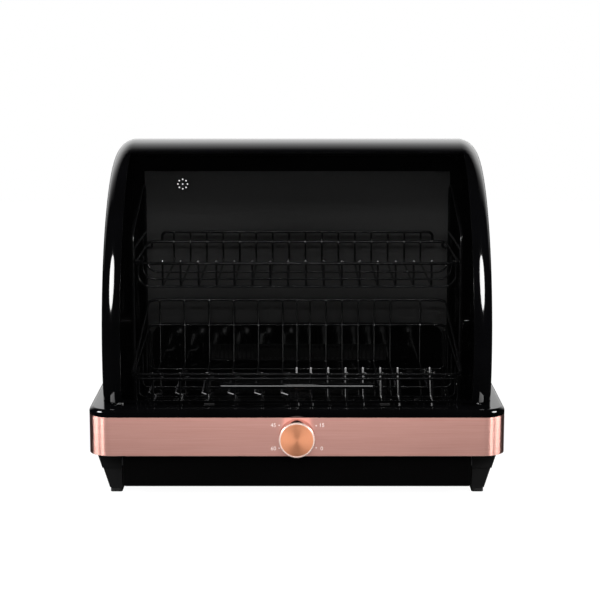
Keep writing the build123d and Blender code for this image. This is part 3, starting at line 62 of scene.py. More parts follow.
BAND_FRONT = low("trim_band").y
BAND_HALF = high("trim_band").x
KNOB_MIDDLE = Vector((0, low("knob").y, (low("knob").z + high("knob").z) / 2))


# ---------------- Materials ----------------
def paint(code):
    """Linear colour of an sRGB hex value."""
    channels = [int(code[i:i + 2], 16) / 255 for i in (1, 3, 5)]
    return (*[c / 12.92 if c <= 0.04045 else ((c + 0.055) / 1.055) ** 2.4 for c in channels], 1.0)


def add_node(tree, kind, inputs=None, **settings):
    """Adds a node, sets its properties, and fills or links its inputs."""
    node = tree.nodes.new(kind)
    for key, value in settings.items():
        setattr(node, key, value)
    for key, value in (inputs or {}).items():
        if isinstance(value, bpy.types.NodeSocket):
            tree.links.new(value, node.inputs[key])
        else:
            node.inputs[key].default_value = value
    return node


def surface(name, colour, roughness, metallic=0.0):
    """A material with one Principled shader; returns the material, its tree and the shader."""
    made = bpy.data.materials.new(name)
    made.use_nodes = True
    tree = made.node_tree
    shader = tree.nodes["Principled BSDF"]
    shader.inputs["Base Color"].default_value = paint(colour)
    shader.inputs["Roughness"].default_value = roughness
    shader.inputs["Metallic"].default_value = metallic
    made.diffuse_color = paint(colour)
    return made, tree, shader


def grain(tree, shader, size_mm, colours, roughness, stretch=(1, 1, 1), bump=0.0, bump_mm=0.02, detail=4.0):
    """Noise in object space, about size_mm across, that varies colour, roughness and height."""
    place = add_node(tree, "ShaderNodeTexCoord")
    scale = add_node(tree, "ShaderNodeMapping", {"Vector": place.outputs["Object"], "Scale": stretch})
    noise = add_node(tree, "ShaderNodeTexNoise",
                     {"Vector": scale.outputs[0], "Scale": 1 / (size_mm * MM), "Detail": detail})
    tone = add_node(tree, "ShaderNodeMix", {"Factor": noise.outputs[0], "A": paint(colours[0]),
                                            "B": paint(colours[1])}, data_type="RGBA")
    tree.links.new(tone.outputs["Result"], shader.inputs["Base Color"])
    rough = add_node(tree, "ShaderNodeMapRange", {"Value": noise.outputs[0], "To Min": roughness[0],
                                                  "To Max": roughness[1]})
    tree.links.new(rough.outputs[0], shader.inputs["Roughness"])
    if bump:
        height = add_node(tree, "ShaderNodeBump", {"Height": noise.outputs[0], "Strength": bump,
                                                   "Distance": bump_mm * MM})
        tree.links.new(height.outputs[0], shader.inputs["Normal"])


def gloss_abs():
    """High-gloss black ABS, moulded: a near mirror with the faintest flow waviness."""
    made, tree, shader = surface("black_abs_polished_moulded", "#030303", 0.06)
    shader.inputs["IOR"].default_value = 1.5
    grain(tree, shader, 60.0, ("#020202", "#040405"), (0.05, 0.08), bump=0.02, bump_mm=0.05, detail=1.0)
    return made


def satin_abs():
    """Black ABS with a fine moulded grain, for the skirts, feet and inner housings."""
    made, tree, shader = surface("black_abs_satin_moulded", "#0B0B0C", 0.42)
    grain(tree, shader, 0.8, ("#090909", "#0E0E0F"), (0.36, 0.5), bump=0.25, bump_mm=0.02)
    return made


def tray_abs():
    """Black ABS of the drip tray, moulded: half gloss with a fine grain."""
    made, tree, shader = surface("black_abs_half_gloss_moulded", "#020202", 0.2)
    shader.inputs["Specular IOR Level"].default_value = 0.35
    grain(tree, shader, 1.5, ("#020202", "#030303"), (0.17, 0.26), bump=0.06)
    return made


def window_sheet():
    """Smoked clear polycarbonate, bent: lets most light through and gives thin reflections."""
    made, tree, shader = surface("polycarbonate_smoked_bent", "#020202", 0.03)
    shader.inputs["Alpha"].default_value = 0.14
    shader.inputs["Specular IOR Level"].default_value = 0.3
    grain(tree, shader, 45.0, ("#010101", "#030303"), (0.02, 0.04), detail=1.0)
    return made


def cut_edge():
    """Polished cut edge of the clear sheet, coloured slightly lighter than its faces: a painted highlight for
    the light the edge gathers.
    """
    made, tree, shader = surface("polycarbonate_edge_flame_polished", "#1A1A1A", 0.12)
    grain(tree, shader, 4.0, ("#141414", "#222222"), (0.08, 0.16))
    return made


def brushed_rose():
    """Rose-gold steel strip brushed lengthwise: hairlines 0.3 mm apart that spread lights up and down.

    The highlights spread along the tangent, so it points straight up, across the hairlines.
    """
    made, tree, shader = surface("steel_rose_gold_brushed", "#C08E86", 0.3, 1.0)
    shader.inputs["Anisotropic"].default_value = 0.85
    across = add_node(tree, "ShaderNodeCombineXYZ", {"Z": 1.0})
    tree.links.new(across.outputs[0], shader.inputs["Tangent"])
    grain(tree, shader, 1.0, ("#B98278", "#D3A59B"), (0.24, 0.42), stretch=(0.02, 0.02, 3.0), bump=0.35,
          bump_mm=0.01, detail=6.0)
    return made


def spun_copper():
    """Copper-tinted aluminium disc, spun: fine rings about its centre that fan the light."""
    made, tree, shader = surface("aluminium_copper_tinted_spun", "#D28A66", 0.3, 1.0)
    place = add_node(tree, "ShaderNodeTexCoord")
    centre = add_node(tree, "ShaderNodeMapping", {"Vector": place.outputs["Object"],
                                                  "Location": tuple(-KNOB_MIDDLE)})
    flat = add_node(tree, "ShaderNodeVectorMath", {0: centre.outputs[0], 1: (1, 0, 1)}, operation="MULTIPLY")
    radius = add_node(tree, "ShaderNodeVectorMath", {0: flat.outputs[0]}, operation="LENGTH")
    rings = add_node(tree, "ShaderNodeTexNoise", {"W": radius.outputs["Value"], "Scale": 1 / (0.5 * MM),
                                                  "Detail": 3.0}, noise_dimensions="1D")
    tone = add_node(tree, "ShaderNodeMix", {"Factor": rings.outputs[0], "A": paint("#C87C58"),
                                            "B": paint("#E2A07C")}, data_type="RGBA")
    height = add_node(tree, "ShaderNodeBump", {"Height": rings.outputs[0], "Strength": 0.5,
                                               "Distance": 0.02 * MM})
    tree.links.new(tone.outputs["Result"], shader.inputs["Base Color"])
    tree.links.new(height.outputs[0], shader.inputs["Normal"])
    tangent = add_node(tree, "ShaderNodeTangent", direction_type="RADIAL", axis="Y")
    tree.links.new(tangent.outputs[0], shader.inputs["Tangent"])
    shader.inputs["Anisotropic"].default_value = 0.45
    return made


def turned_rose():
    """Rose-tinted aluminium cup, turned and polished: the knob's side and rim."""
    made, tree, shader = surface("aluminium_rose_tinted_turned", "#C98F80", 0.16, 1.0)
    grain(tree, shader, 0.6, ("#BF8474", "#D79F8F"), (0.12, 0.22), stretch=(1, 3, 1), bump=0.1)
    return made


def diamond_cut():
    """Diamond-cut edge of the knob, pale and only partly metallic so it stays bright all round: a painted
    highlight for the light a real mirror-like chamfer reflects.
    """
    made, tree, shader = surface("aluminium_diamond_cut", "#F3D5C8", 0.5, 0.4)
    grain(tree, shader, 0.5, ("#EACABD", "#F8DDD2"), (0.42, 0.58))
    return made


def coated_wire():
    """Steel wire dipped in black nylon: soft orange-peel gloss, so bends catch small lights."""
    made, tree, shader = surface("nylon_black_dip_coated", "#0A0A0B", 0.22)
    grain(tree, shader, 2.0, ("#070708", "#0D0D0E"), (0.16, 0.28), bump=0.15, bump_mm=0.05)
    return made


def panel_sheet():
    """Dark grey powder-coated steel sheet: fine texture, a dull even sheen."""
    made, tree, shader = surface("steel_dark_grey_powder_coated", "#414141", 0.6)
    shader.inputs["Specular IOR Level"].default_value = 0.2
    grain(tree, shader, 1.2, ("#3E3E3E", "#454545"), (0.55, 0.7), bump=0.2, bump_mm=0.02)
    return made


def rubber():
    """Black rubber, moulded: matte and slightly dusty."""
    made, tree, shader = surface("rubber_black_moulded", "#121212", 0.75)
    grain(tree, shader, 1.0, ("#0E0E0E", "#191919"), (0.68, 0.85), bump=0.2)
    return made


def zinc_steel():
    """Bright zinc-plated steel of screws, pins, rails and the fan motor's can."""
    made, tree, shader = surface("steel_zinc_plated", "#A9ABAE", 0.32, 1.0)
    grain(tree, shader, 3.0, ("#9C9EA2", "#B9BBBD"), (0.25, 0.42), bump=0.05)
    return made


def black_steel():
    """Black oxide steel of the screws that show inside."""
    made, tree, shader = surface("steel_black_oxide", "#141414", 0.38, 0.6)
    grain(tree, shader, 1.0, ("#101010", "#1B1B1B"), (0.32, 0.5))
    return made


def pressed_steel():
    """Stainless steel of the drain strainer, pressed and satin."""
    made, tree, shader = surface("stainless_steel_pressed", "#5A5A5A", 0.35, 1.0)
    grain(tree, shader, 1.0, ("#505050", "#666666"), (0.3, 0.45))
    return made


def quartz():
    """Clear quartz tube of the lamp."""
    made, tree, shader = surface("quartz_drawn_clear", "#DDE3F0", 0.04)
    shader.inputs["Alpha"].default_value = 0.35
    grain(tree, shader, 30.0, ("#D5DCEB", "#E6EAF4"), (0.03, 0.06), stretch=(0.1, 1, 1))
    return made


def finned_aluminium():
    """Heater fins, coloured near black as painted shade so they stay dark behind the grille: folds 1.5 mm
    apart.
    """
    made, tree, shader = surface("aluminium_fins_black_anodised", "#1A1A1B", 0.5, 1.0)
    grain(tree, shader, 1.5, ("#151516", "#222223"), (0.45, 0.6), stretch=(1, 0.05, 0.05), bump=0.6,
          bump_mm=0.2)
    return made


def pale_ink():
    """Pale screen-printed ink of the dial's marks."""
    made, tree, shader = surface("ink_pale_screen_printed", "#F2E3DF", 0.55)
    grain(tree, shader, 0.5, ("#EBD9D4", "#F8EDEA"), (0.5, 0.6))
    return made


GLOSS, SATIN, TRAY = gloss_abs(), satin_abs(), tray_abs()
WINDOW, EDGE, ROSE = window_sheet(), cut_edge(), brushed_rose()
COPPER, TURNED, CUT = spun_copper(), turned_rose(), diamond_cut()
WIRE, PANEL, RUBBER, ZINC = coated_wire(), panel_sheet(), rubber(), zinc_steel()
DARK_SCREW, STRAINER, QUARTZ = black_steel(), pressed_steel(), quartz()
FINS, INK = finned_aluminium(), pale_ink()

FINISHES = {
    GLOSS: ["lid_frame", "rear_cover", "basin", "lid_handle", "duct_housing", "lamp_shade"],
    SATIN: ["base_housing", "feet", "bottom_cover", "intake_grille", "outlet_grille", "timer_body",
            "lid_magnet", "reed_switch", "heater_frame", "thermostat", "fan_scroll", "fan_impeller",
            "lamp_ballast", "lamp_socket_left", "lamp_socket_right", "terminal_block", "cord_gland",
            "hinge_bush_left", "hinge_bush_right"],
    TRAY: ["drip_tray"],
    WINDOW: ["lid_window"],
    ROSE: ["trim_band"],
    TURNED: ["knob"],
    COPPER: ["knob_face"],
    PANEL: ["back_panel", "panel_screws"],
    RUBBER: ["foot_pads", "lid_bumpers", "basket_feet"],
    ZINC: ["hinge_pin_left", "hinge_pin_right", "timer_screws", "timer_shaft", "fan_shaft", "fan_motor",
           "tray_rail_left", "tray_rail_right"],
    DARK_SCREW: ["handle_screws"],
    STRAINER: ["drain_strainer"],
    QUARTZ: ["uv_lamp"],
    FINS: ["heater_elements"],
    WIRE: ["side_frame_left", "side_frame_right", "upper_basket_rims", "upper_cross_wires",
           "upper_long_wires", "lower_basket_rims", "lower_cross_wires", "lower_long_wires"],
}
for finish, names in FINISHES.items():
    for name in names:
        slots = nodes[name].data.materials
        slots.clear()
        slots.append(finish)

BODY_OF = {node: body for body, group in frame["record"]["behaviour"]["bodies"].items() for node in group}


# ---------------- Pieces made from the CAD surfaces ----------------
def new_piece(name, mesh, body, finish):
    """Links a mesh as a piece on a body, with its material."""
    piece = bpy.data.objects.new(name, mesh)
    bpy.context.scene.collection.objects.link(piece)
    if finish:
        mesh.materials.clear()
        mesh.materials.append(finish)
    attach(piece, body)
    return piece


CREASE = math.radians(32)       # edges sharper than this stay crisp and are bevelled
MERGE = 0.002 * MM
FLAT = math.radians(0.2)


def smooth_copy(node, bevel_mm, edge_finish=None):
    """Replaces a CAD node by a merged copy with smooth curved faces and softly bevelled edges."""
    mesh = nodes[node].data.copy()
    work = bmesh.new()
    work.from_mesh(mesh)
    bmesh.ops.remove_doubles(work, verts=work.verts, dist=MERGE)
    bmesh.ops.dissolve_limit(work, angle_limit=FLAT, verts=work.verts, edges=work.edges)
    work.to_mesh(mesh)
    work.free()
    mesh.shade_smooth()
    mesh.set_sharp_from_angle(angle=CREASE)
    piece = new_piece(node + "_skin", mesh, BODY_OF[node], None)
    if bevel_mm:
        edge = piece.modifiers.new("soft_edges", "BEVEL")
        edge.width = bevel_mm * MM
        edge.segments = 2
        edge.limit_method = "ANGLE"
        edge.angle_limit = CREASE
        edge.harden_normals = True
        if edge_finish:
            mesh.materials.append(edge_finish)
            edge.material = 1
        bpy.context.view_layer.update()
        flat = bpy.data.meshes.new_from_object(piece.evaluated_get(bpy.context.evaluated_depsgraph_get()))
        piece.modifiers.clear()
        piece.data = flat
    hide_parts(node)


for node, bevel in (("trim_band", 0.25), ("lid_frame", 0.4), ("rear_cover", 0.4), ("basin", 0.4),
                    ("base_housing", 0.3), ("knob_face", 0.15), ("lid_handle", 0.0),
                    ("duct_housing", 0.4), ("lamp_shade", 0.2), ("drip_tray", 0.5), ("feet", 0.5),
                    ("foot_pads", 0.4), ("back_panel", 0.3)):
    smooth_copy(node, bevel_mm=bevel)
# The window's cut edge and the knob's diamond-cut edge get finishes that carry painted highlights.
smooth_copy("lid_window", bevel_mm=0.6, edge_finish=EDGE)
smooth_copy("knob", bevel_mm=0.4, edge_finish=CUT)


# ---------------- Camera ----------------
IMAGE = 600                     # picture side, pixels
FOCAL_PIXELS = 1732.0
SENSOR = 36.0                   # mm
CAMERA_X, CAMERA_AHEAD, CAMERA_Z = 0.0036, 1.970, 0.564
CAMERA_DOWN = 9.5               # degrees
camera_data = bpy.data.cameras.new("camera")
camera_data.sensor_width = SENSOR
camera_data.lens = FOCAL_PIXELS / IMAGE * SENSOR
camera = bpy.data.objects.new("camera", camera_data)
bpy.context.scene.collection.objects.link(camera)
camera.location = (CAMERA_X, BAND_FRONT - CAMERA_AHEAD, CAMERA_Z)
camera.rotation_euler = (math.radians(90 - CAMERA_DOWN), 0, 0)
bpy.context.scene.camera = camera


# ---------------- Wire work ----------------
def rounded(points, bend, steps=7):
    """Points of a path with its corners rounded by arcs."""
    path = [Vector(points[0])]
    for before, corner, after in zip(points, points[1:], points[2:]):
        before, corner, after = Vector(before), Vector(corner), Vector(after)
        to_a, to_b = (before - corner), (after - corner)
        half = to_a.angle(to_b) / 2
        reach = min(bend / math.tan(half), 0.49 * to_a.length, 0.49 * to_b.length)
        a, b = corner + to_a.normalized() * reach, corner + to_b.normalized() * reach
        centre = corner + (to_a.normalized() + to_b.normalized()).normalized() * (reach / math.cos(half))
        arm_a, arm_b = a - centre, b - centre
        turn = arm_a.angle(arm_b)
        for step in range(steps + 1):
            share = step / steps
            arm = (math.sin((1 - share) * turn) * arm_a + math.sin(share * turn) * arm_b) / math.sin(turn)
            path.append(centre + arm)
    path.append(Vector(points[-1]))
    return path


def wire_tree(name, finish):
    """Geometry nodes: every curve becomes a round wire with closed ends and the given finish."""
    tree = bpy.data.node_groups.new(name, "GeometryNodeTree")
    tree.interface.new_socket("Curves", in_out="INPUT", socket_type="NodeSocketGeometry")
    tree.interface.new_socket("Wire radius", in_out="INPUT", socket_type="NodeSocketFloat")
    tree.interface.new_socket("Wires", in_out="OUTPUT", socket_type="NodeSocketGeometry")
    start = add_node(tree, "NodeGroupInput")
    section = add_node(tree, "GeometryNodeCurvePrimitiveCircle",
                       {"Resolution": 14, "Radius": start.outputs["Wire radius"]})
    tube = add_node(tree, "GeometryNodeCurveToMesh", {"Curve": start.outputs["Curves"],
                                                      "Profile Curve": section.outputs[0], "Fill Caps": True})
    soft = add_node(tree, "GeometryNodeSetShadeSmooth", {"Geometry": tube.outputs[0]})
    real = add_node(tree, "GeometryNodeRealizeInstances", {"Geometry": soft.outputs[0]})
    coat = add_node(tree, "GeometryNodeSetMaterial", {"Geometry": real.outputs[0], "Material": finish})
    add_node(tree, "NodeGroupOutput", {"Wires": coat.outputs[0]})
    return tree


def bead_tree(name, finish):
    """Geometry nodes: a small bead at every point, for welds under the coating."""
    tree = bpy.data.node_groups.new(name, "GeometryNodeTree")
    tree.interface.new_socket("Points", in_out="INPUT", socket_type="NodeSocketGeometry")
    tree.interface.new_socket("Bead radius", in_out="INPUT", socket_type="NodeSocketFloat")
    tree.interface.new_socket("Beads", in_out="OUTPUT", socket_type="NodeSocketGeometry")
    start = add_node(tree, "NodeGroupInput")
    bead = add_node(tree, "GeometryNodeMeshIcoSphere", {"Radius": start.outputs["Bead radius"],
                                                        "Subdivisions": 2})
    spread = add_node(tree, "GeometryNodeInstanceOnPoints", {"Points": start.outputs["Points"],
                                                             "Instance": bead.outputs[0]})
    soft = add_node(tree, "GeometryNodeSetShadeSmooth", {"Geometry": spread.outputs[0]})
    real = add_node(tree, "GeometryNodeRealizeInstances", {"Geometry": soft.outputs[0]})
    coat = add_node(tree, "GeometryNodeSetMaterial", {"Geometry": real.outputs[0], "Material": finish})
    add_node(tree, "NodeGroupOutput", {"Beads": coat.outputs[0]})
    return tree


def grown(source, tree, size, name, body):
    """Runs a geometry tree on a source object and keeps the result as a plain mesh piece."""
    bpy.context.scene.collection.objects.link(source)
    grow = source.modifiers.new("grow", "NODES")
    grow.node_group = tree
    size_socket = [item for item in tree.interface.items_tree if item.name.endswith("radius")][0]
    grow[size_socket.identifier] = size
    bpy.context.view_layer.update()
    mesh = bpy.data.meshes.new_from_object(source.evaluated_get(bpy.context.evaluated_depsgraph_get()))
    bpy.data.objects.remove(source)
    return new_piece(name, mesh, body, None)


WIRE_TREE = wire_tree("coated_wires", WIRE)
BEAD_TREE = bead_tree("weld_beads", WIRE)


def wires(name, body, paths, diameter, replaced=None, closed=False):
    """One piece of wires along paths of points in metres; it may stand for a CAD node."""
    data = bpy.data.curves.new(name + "_paths", "CURVE")
    data.dimensions = "3D"
    for path in paths:
        spline = data.splines.new("POLY")
        spline.points.add(len(path) - 1)
        for point, place in zip(spline.points, path):
            point.co = (*place, 1)
        spline.use_cyclic_u = closed
    piece = grown(bpy.data.objects.new(name + "_paths", data), WIRE_TREE, diameter / 2, name, body)
    if replaced:
        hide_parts(replaced)
    return piece


def beads(name, body, places, radius):
    """Weld beads at places in metres."""
    mesh = bpy.data.meshes.new(name + "_points")
    mesh.from_pydata([tuple(p) for p in places], [], [])
    piece = grown(bpy.data.objects.new(name + "_points", mesh), BEAD_TREE, radius, name, body)
    return piece


def ring(points, bend):
    """A closed loop of points with rounded corners."""
    start = (Vector(points[0]) + Vector(points[1])) / 2
    return rounded([start, *points[1:], points[0], start], bend)[:-1]


def at(depth):
    """The place on Y that is so many millimetres behind the band's front."""
    return BAND_FRONT + depth * MM


# Wire diameters, bends and gaps
CROSS_WIRE, RIM_WIRE, FRAME_WIRE, HOOK_WIRE = 2.5 * MM, 3.5 * MM, 4.0 * MM, 3.0 * MM
SEAT = 0.05 * MM
WELD = (RIM_WIRE + CROSS_WIRE) / 2 + SEAT
CROSS_BEND, RIM_BEND, FRAME_BEND = 7.0 * MM, 12.0 * MM, 16.0 * MM
BEAD_RADIUS = 1.8 * MM
BEAD_RISE = 2.2 * MM            # beads on the wires' front ends, above the rim

# Upper basket
UPPER_BEND = 18.0 * MM
UPPER_COUNT, UPPER_PITCH = 16, 22.0 * MM
UPPER_LONG = [at(depth) for depth in (142.0, 203.0, 262.0)]
rims_low, rims_high = low("upper_basket_rims"), high("upper_basket_rims")
half = rims_high.x - RIM_WIRE / 2
front, rear = rims_low.y + RIM_WIRE / 2, rims_high.y - RIM_WIRE / 2
rim_z, rail_z = rims_low.z + RIM_WIRE / 2, rims_high.z - RIM_WIRE / 2
floor_z = low("upper_cross_wires").z + CROSS_WIRE / 2
long_z = floor_z - CROSS_WIRE - SEAT
rail_half = half - UPPER_BEND
upper_x = [(index - (UPPER_COUNT - 1) / 2) * UPPER_PITCH for index in range(UPPER_COUNT)]
wires("upper_rim_wire", "upper_basket",
      [ring([(-half, rear, rim_z), (half, rear, rim_z), (half, front, rim_z), (-half, front, rim_z)],
            RIM_BEND)], RIM_WIRE, "upper_basket_rims", closed=True)
rail = wires("upper_guard_rail", "upper_basket",
             [rounded([(-rail_half, rear, rim_z), (-rail_half, rear, rail_z), (rail_half, rear, rail_z),
                       (rail_half, rear, rim_z)], CROSS_BEND)], RIM_WIRE)
wires("upper_cross_wire_row", "upper_basket",
      [rounded([(x, rear - WELD, rail_z), (x, rear - WELD, floor_z), (x, front + WELD, floor_z),
                (x, front + WELD, rim_z)], CROSS_BEND) for x in upper_x], CROSS_WIRE, "upper_cross_wires")
wires("upper_long_wire_row", "upper_basket",
      [rounded([(-half + WELD, y, rim_z), (-half + WELD, y, long_z), (half - WELD, y, long_z),
                (half - WELD, y, rim_z)], UPPER_BEND) for y in UPPER_LONG], CROSS_WIRE, "upper_long_wires")
upper_welds = [(x, y, z) for x in upper_x for y, z in (
    (front + WELD, rim_z + BEAD_RISE), (rear - WELD, rim_z),
    *[(y, (floor_z + long_z) / 2) for y in UPPER_LONG])]
beads("upper_basket_welds", "upper_basket", upper_welds, BEAD_RADIUS)

# Lower basket: its left cross wires zigzag along the floor, its right ones rise in a hump
ZIGZAG = 10.0 * MM
ZIGZAG_BENDS = ((264, 0), (252, 1), (232, 1), (220, 0), (136, 0), (122, 1))   # depth, steps of ZIGZAG aside
HUMP_REAR, HUMP_MIDDLE, HUMP_FRONT = at(167), at(141), at(115)
HUMP_TOP = 127.0 * MM
LOWER_BEND = 4.0 * MM
LOWER_LONG = [at(depth) for depth in (92.0, 128.0, 184.0, 240.0, 296.0)]
MID_RAIL_DROP = 34.0 * MM
FRONT_RIM_STEP = 5.5 * MM
ROW_COUNT = 6
LEFT_FIRST, LEFT_PITCH = 14.5, 33.0                       # mm, from the rim's left side
MIDDLE_WIRE, RIGHT_FIRST, RIGHT_PITCH = -0.5, 17.0, 21.6  # mm, from the middle
RIGHT_LAST = 34.0                                         # mm, from the rim's right side
rims_low, rims_high = low("lower_basket_rims"), high("lower_basket_rims")
front, rear = rims_low.y + RIM_WIRE / 2, rims_high.y - RIM_WIRE / 2
top_z = rims_high.z - RIM_WIRE / 2
under_z = rims_low.z + RIM_WIRE / 2
mid_z, front_z = top_z - MID_RAIL_DROP, under_z + FRONT_RIM_STEP
floor_z = low("lower_cross_wires").z + CROSS_WIRE / 2
long_z = floor_z - CROSS_WIRE - SEAT
left_x = [-half + (LEFT_FIRST + n * LEFT_PITCH) * MM for n in range(ROW_COUNT)]
right_x = [MIDDLE_WIRE * MM, *[(RIGHT_FIRST + n * RIGHT_PITCH) * MM for n in range(ROW_COUNT)],
           half - RIGHT_LAST * MM]
wires("lower_rim_wires", "lower_basket",
      [ring([(-half, rear, back), (half, rear, back), (half, front, fore), (-half, front, fore)], RIM_BEND)
       for back, fore in ((top_z, front_z), (mid_z, under_z))], RIM_WIRE, "lower_basket_rims", closed=True)
zigzags = [rounded([(x, rear - WELD, top_z), (x, rear - WELD, floor_z),
                    *[(x + step * ZIGZAG, at(depth), floor_z) for depth, step in ZIGZAG_BENDS],
                    (x + ZIGZAG, front + WELD, floor_z), (x + ZIGZAG, front + WELD, front_z)], LOWER_BEND)
           for x in left_x]
humps = [rounded([(x, rear - WELD, top_z), (x, rear - WELD, floor_z), (x, HUMP_REAR, floor_z),
                  (x, HUMP_MIDDLE, HUMP_TOP), (x, HUMP_FRONT, floor_z), (x, front + WELD, floor_z),
                  (x, front + WELD, front_z)], LOWER_BEND) for x in right_x]
wires("lower_cross_wire_row", "lower_basket", zigzags + humps, CROSS_WIRE, "lower_cross_wires")
ends = [under_z + (y - front) / (rear - front) * (mid_z - under_z) for y in LOWER_LONG]
wires("lower_long_wire_row", "lower_basket",
      [rounded([(-half + WELD, y, end), (-half + WELD, y, long_z), (half - WELD, y, long_z),
                (half - WELD, y, end)], CROSS_BEND) for y, end in zip(LOWER_LONG, ends)],
      CROSS_WIRE, "lower_long_wires")
lower_welds = [(x, y, z) for x in left_x + right_x for y, z in ((rear - WELD, top_z), (rear - WELD, mid_z))]
lower_welds += [(x, front + WELD / 2, front_z) for x in [x + ZIGZAG for x in left_x] + right_x]
beads("lower_basket_welds", "lower_basket", lower_welds, BEAD_RADIUS)

# Side frames, with the hooks that the upper basket hangs on
FRAME_SHOULDER = 292.0 * MM
FRAME_TOP_RUN = 2.2 * FRAME_BEND
HOOK_GAP = 0.3 * MM
HOOK_REACH = 12.0 * MM
HOOKS = [at(depth) for depth in (175.0, 300.0)]
hook = rim_z - RIM_WIRE / 2 - HOOK_WIRE / 2 - HOOK_GAP
for side, name in ((-1, "left"), (1, "right")):
    node = "side_frame_" + name
    frame_low, frame_high = low(node), high(node)
    x = side * (max(abs(frame_low.x), abs(frame_high.x)) - FRAME_WIRE / 2)
    inner = x - side * HOOK_REACH
    fore, aft = frame_low.y + FRAME_WIRE / 2, frame_high.y - FRAME_WIRE / 2
    foot, top = frame_low.z, frame_high.z - FRAME_WIRE / 2
    wires("side_frame_wire_" + name, "cabinet",
          [rounded([(x, aft, foot), (x, aft, top), (x, aft - FRAME_TOP_RUN, top),
                    (x, fore, FRAME_SHOULDER), (x, fore, foot)], FRAME_BEND),
           [Vector((x, fore, hook + FRAME_BEND)), Vector((x, aft, hook + FRAME_BEND))]], FRAME_WIRE, node)
    hooks = wires("basket_hooks_" + name, "cabinet",
                  [rounded([(x, y, hook + FRAME_BEND), (x, y, hook), (inner, y, hook),
                            (inner, y, hook + 2 * HOOK_WIRE)], HOOK_WIRE) for y in HOOKS], HOOK_WIRE)


# ---------------- Dial marks ----------------
DIGIT = 6.4 * MM
DOT = 0.8 * MM
INK_DEPTH = 0.03 * MM           # half the ink's thickness
INK_PROUD = 0.02 * MM           # how far its middle stands in front of the band


def printed(name, mesh, x, z):
    """Stands a mark up and puts it on the band's front at x, z, in millimetres."""
    mesh.transform(Matrix.Translation((x * MM, BAND_FRONT - INK_PROUD, z * MM))
                   @ Matrix.Rotation(math.pi / 2, 4, "X"))
    new_piece(name, mesh, "cabinet", INK)


def number(name, words, x, z):
    """A printed number of the dial, centred at x, z."""
    data = bpy.data.curves.new(name, "FONT")
    data.body = words
    data.size = DIGIT
    data.align_x, data.align_y = "CENTER", "CENTER"
    data.extrude = INK_DEPTH
    source = bpy.data.objects.new(name + "_text", data)
    bpy.context.scene.collection.objects.link(source)
    bpy.context.view_layer.update()
    mesh = bpy.data.meshes.new_from_object(source.evaluated_get(bpy.context.evaluated_depsgraph_get()))
    bpy.data.objects.remove(source)
    printed(name, mesh, x, z)


def dot(name, x, z):
    """A printed dot of the dial."""
    mesh = bpy.data.meshes.new(name)
    work = bmesh.new()
    bmesh.ops.create_cone(work, cap_ends=True, radius1=DOT, radius2=DOT, depth=2 * INK_DEPTH, segments=24)
    work.to_mesh(mesh)
    work.free()
    printed(name, mesh, x, z)


for name, words, x, z in (("mark_45", "45", -27.5, 86.0), ("mark_60", "60", -27.5, 58.0),
                          ("mark_15", "15", 29.0, 86.0), ("mark_0", "0", 29.0, 58.0)):
    number(name, words, x, z)
for name, x, z in (("mark_45_dot", -20.8, 86.0), ("mark_60_dot", -20.8, 58.5), ("mark_15_dot", 22.5, 85.5),
                   ("mark_0_dot", 22.5, 59.0)):
    dot(name, x, z)


# ---------------- Floor, world and lamps ----------------
def backdrop(name, glow, strength):
    """A white matte surface that keeps the shadow, shown white to the camera and dark to mirrors."""
    made = bpy.data.materials.new(name)
    made.use_nodes = True
    tree = made.node_tree
    tree.nodes.clear()
    matte = add_node(tree, "ShaderNodeBsdfDiffuse", {"Color": paint("#FFFFFF")})
    light = add_node(tree, "ShaderNodeEmission", {"Strength": strength})
    seen = add_node(tree, "ShaderNodeMixShader", {"Fac": glow, 1: matte.outputs[0], 2: light.outputs[0]})
    dark = add_node(tree, "ShaderNodeBsdfDiffuse", {"Color": paint("#080808")})
    path = add_node(tree, "ShaderNodeLightPath")
    choice = add_node(tree, "ShaderNodeMixShader", {"Fac": path.outputs["Is Glossy Ray"], 1: seen.outputs[0],
                                                    2: dark.outputs[0]})
    add_node(tree, "ShaderNodeOutputMaterial", {"Surface": choice.outputs[0]})
    return made


FLOOR_HALF = 3.0
FLOOR_GLOW, FLOOR_WHITE = 0.93, 1.04    # share of the floor that glows, and how brightly
corners = [(-FLOOR_HALF, -FLOOR_HALF, 0), (FLOOR_HALF, -FLOOR_HALF, 0), (FLOOR_HALF, FLOOR_HALF, 0),
           (-FLOOR_HALF, FLOOR_HALF, 0)]
floor_mesh = bpy.data.meshes.new("floor")
floor_mesh.from_pydata(corners, [], [(0, 1, 2, 3)])
floor = bpy.data.objects.new("floor", floor_mesh)
bpy.context.scene.collection.objects.link(floor)
floor.data.materials.append(backdrop("floor_white_paper", FLOOR_GLOW, FLOOR_WHITE))

# The world is white to the camera and half as bright to matte surfaces. Mirrors see it only low behind the
# cabinet, where it fades out upwards and to both sides, so the gloss black stays black.
world = bpy.data.worlds.new("studio")
bpy.context.scene.world = world
world.use_nodes = True
tree = world.node_tree
tree.nodes.clear()
place = add_node(tree, "ShaderNodeTexCoord")
axes = add_node(tree, "ShaderNodeSeparateXYZ", {"Vector": place.outputs["Generated"]})
SKY_END, SKY_FULL = 0.58, 0.30          # parts of the direction's unit vector: up
HORIZON = -0.01
BEHIND_FULL = 0.3                       # backwards
ASIDE_END, ASIDE_FULL = 0.75, 0.45      # sideways
MATTE_SKY = 0.5
low_sky = add_node(tree, "ShaderNodeMapRange", {"Value": axes.outputs["Z"], "From Min": SKY_END,
                                                "From Max": SKY_FULL})
above = add_node(tree, "ShaderNodeMath", {0: axes.outputs["Z"], 1: HORIZON}, operation="GREATER_THAN")
behind = add_node(tree, "ShaderNodeMapRange", {"Value": axes.outputs["Y"], "From Min": 0.0,
                                               "From Max": BEHIND_FULL})
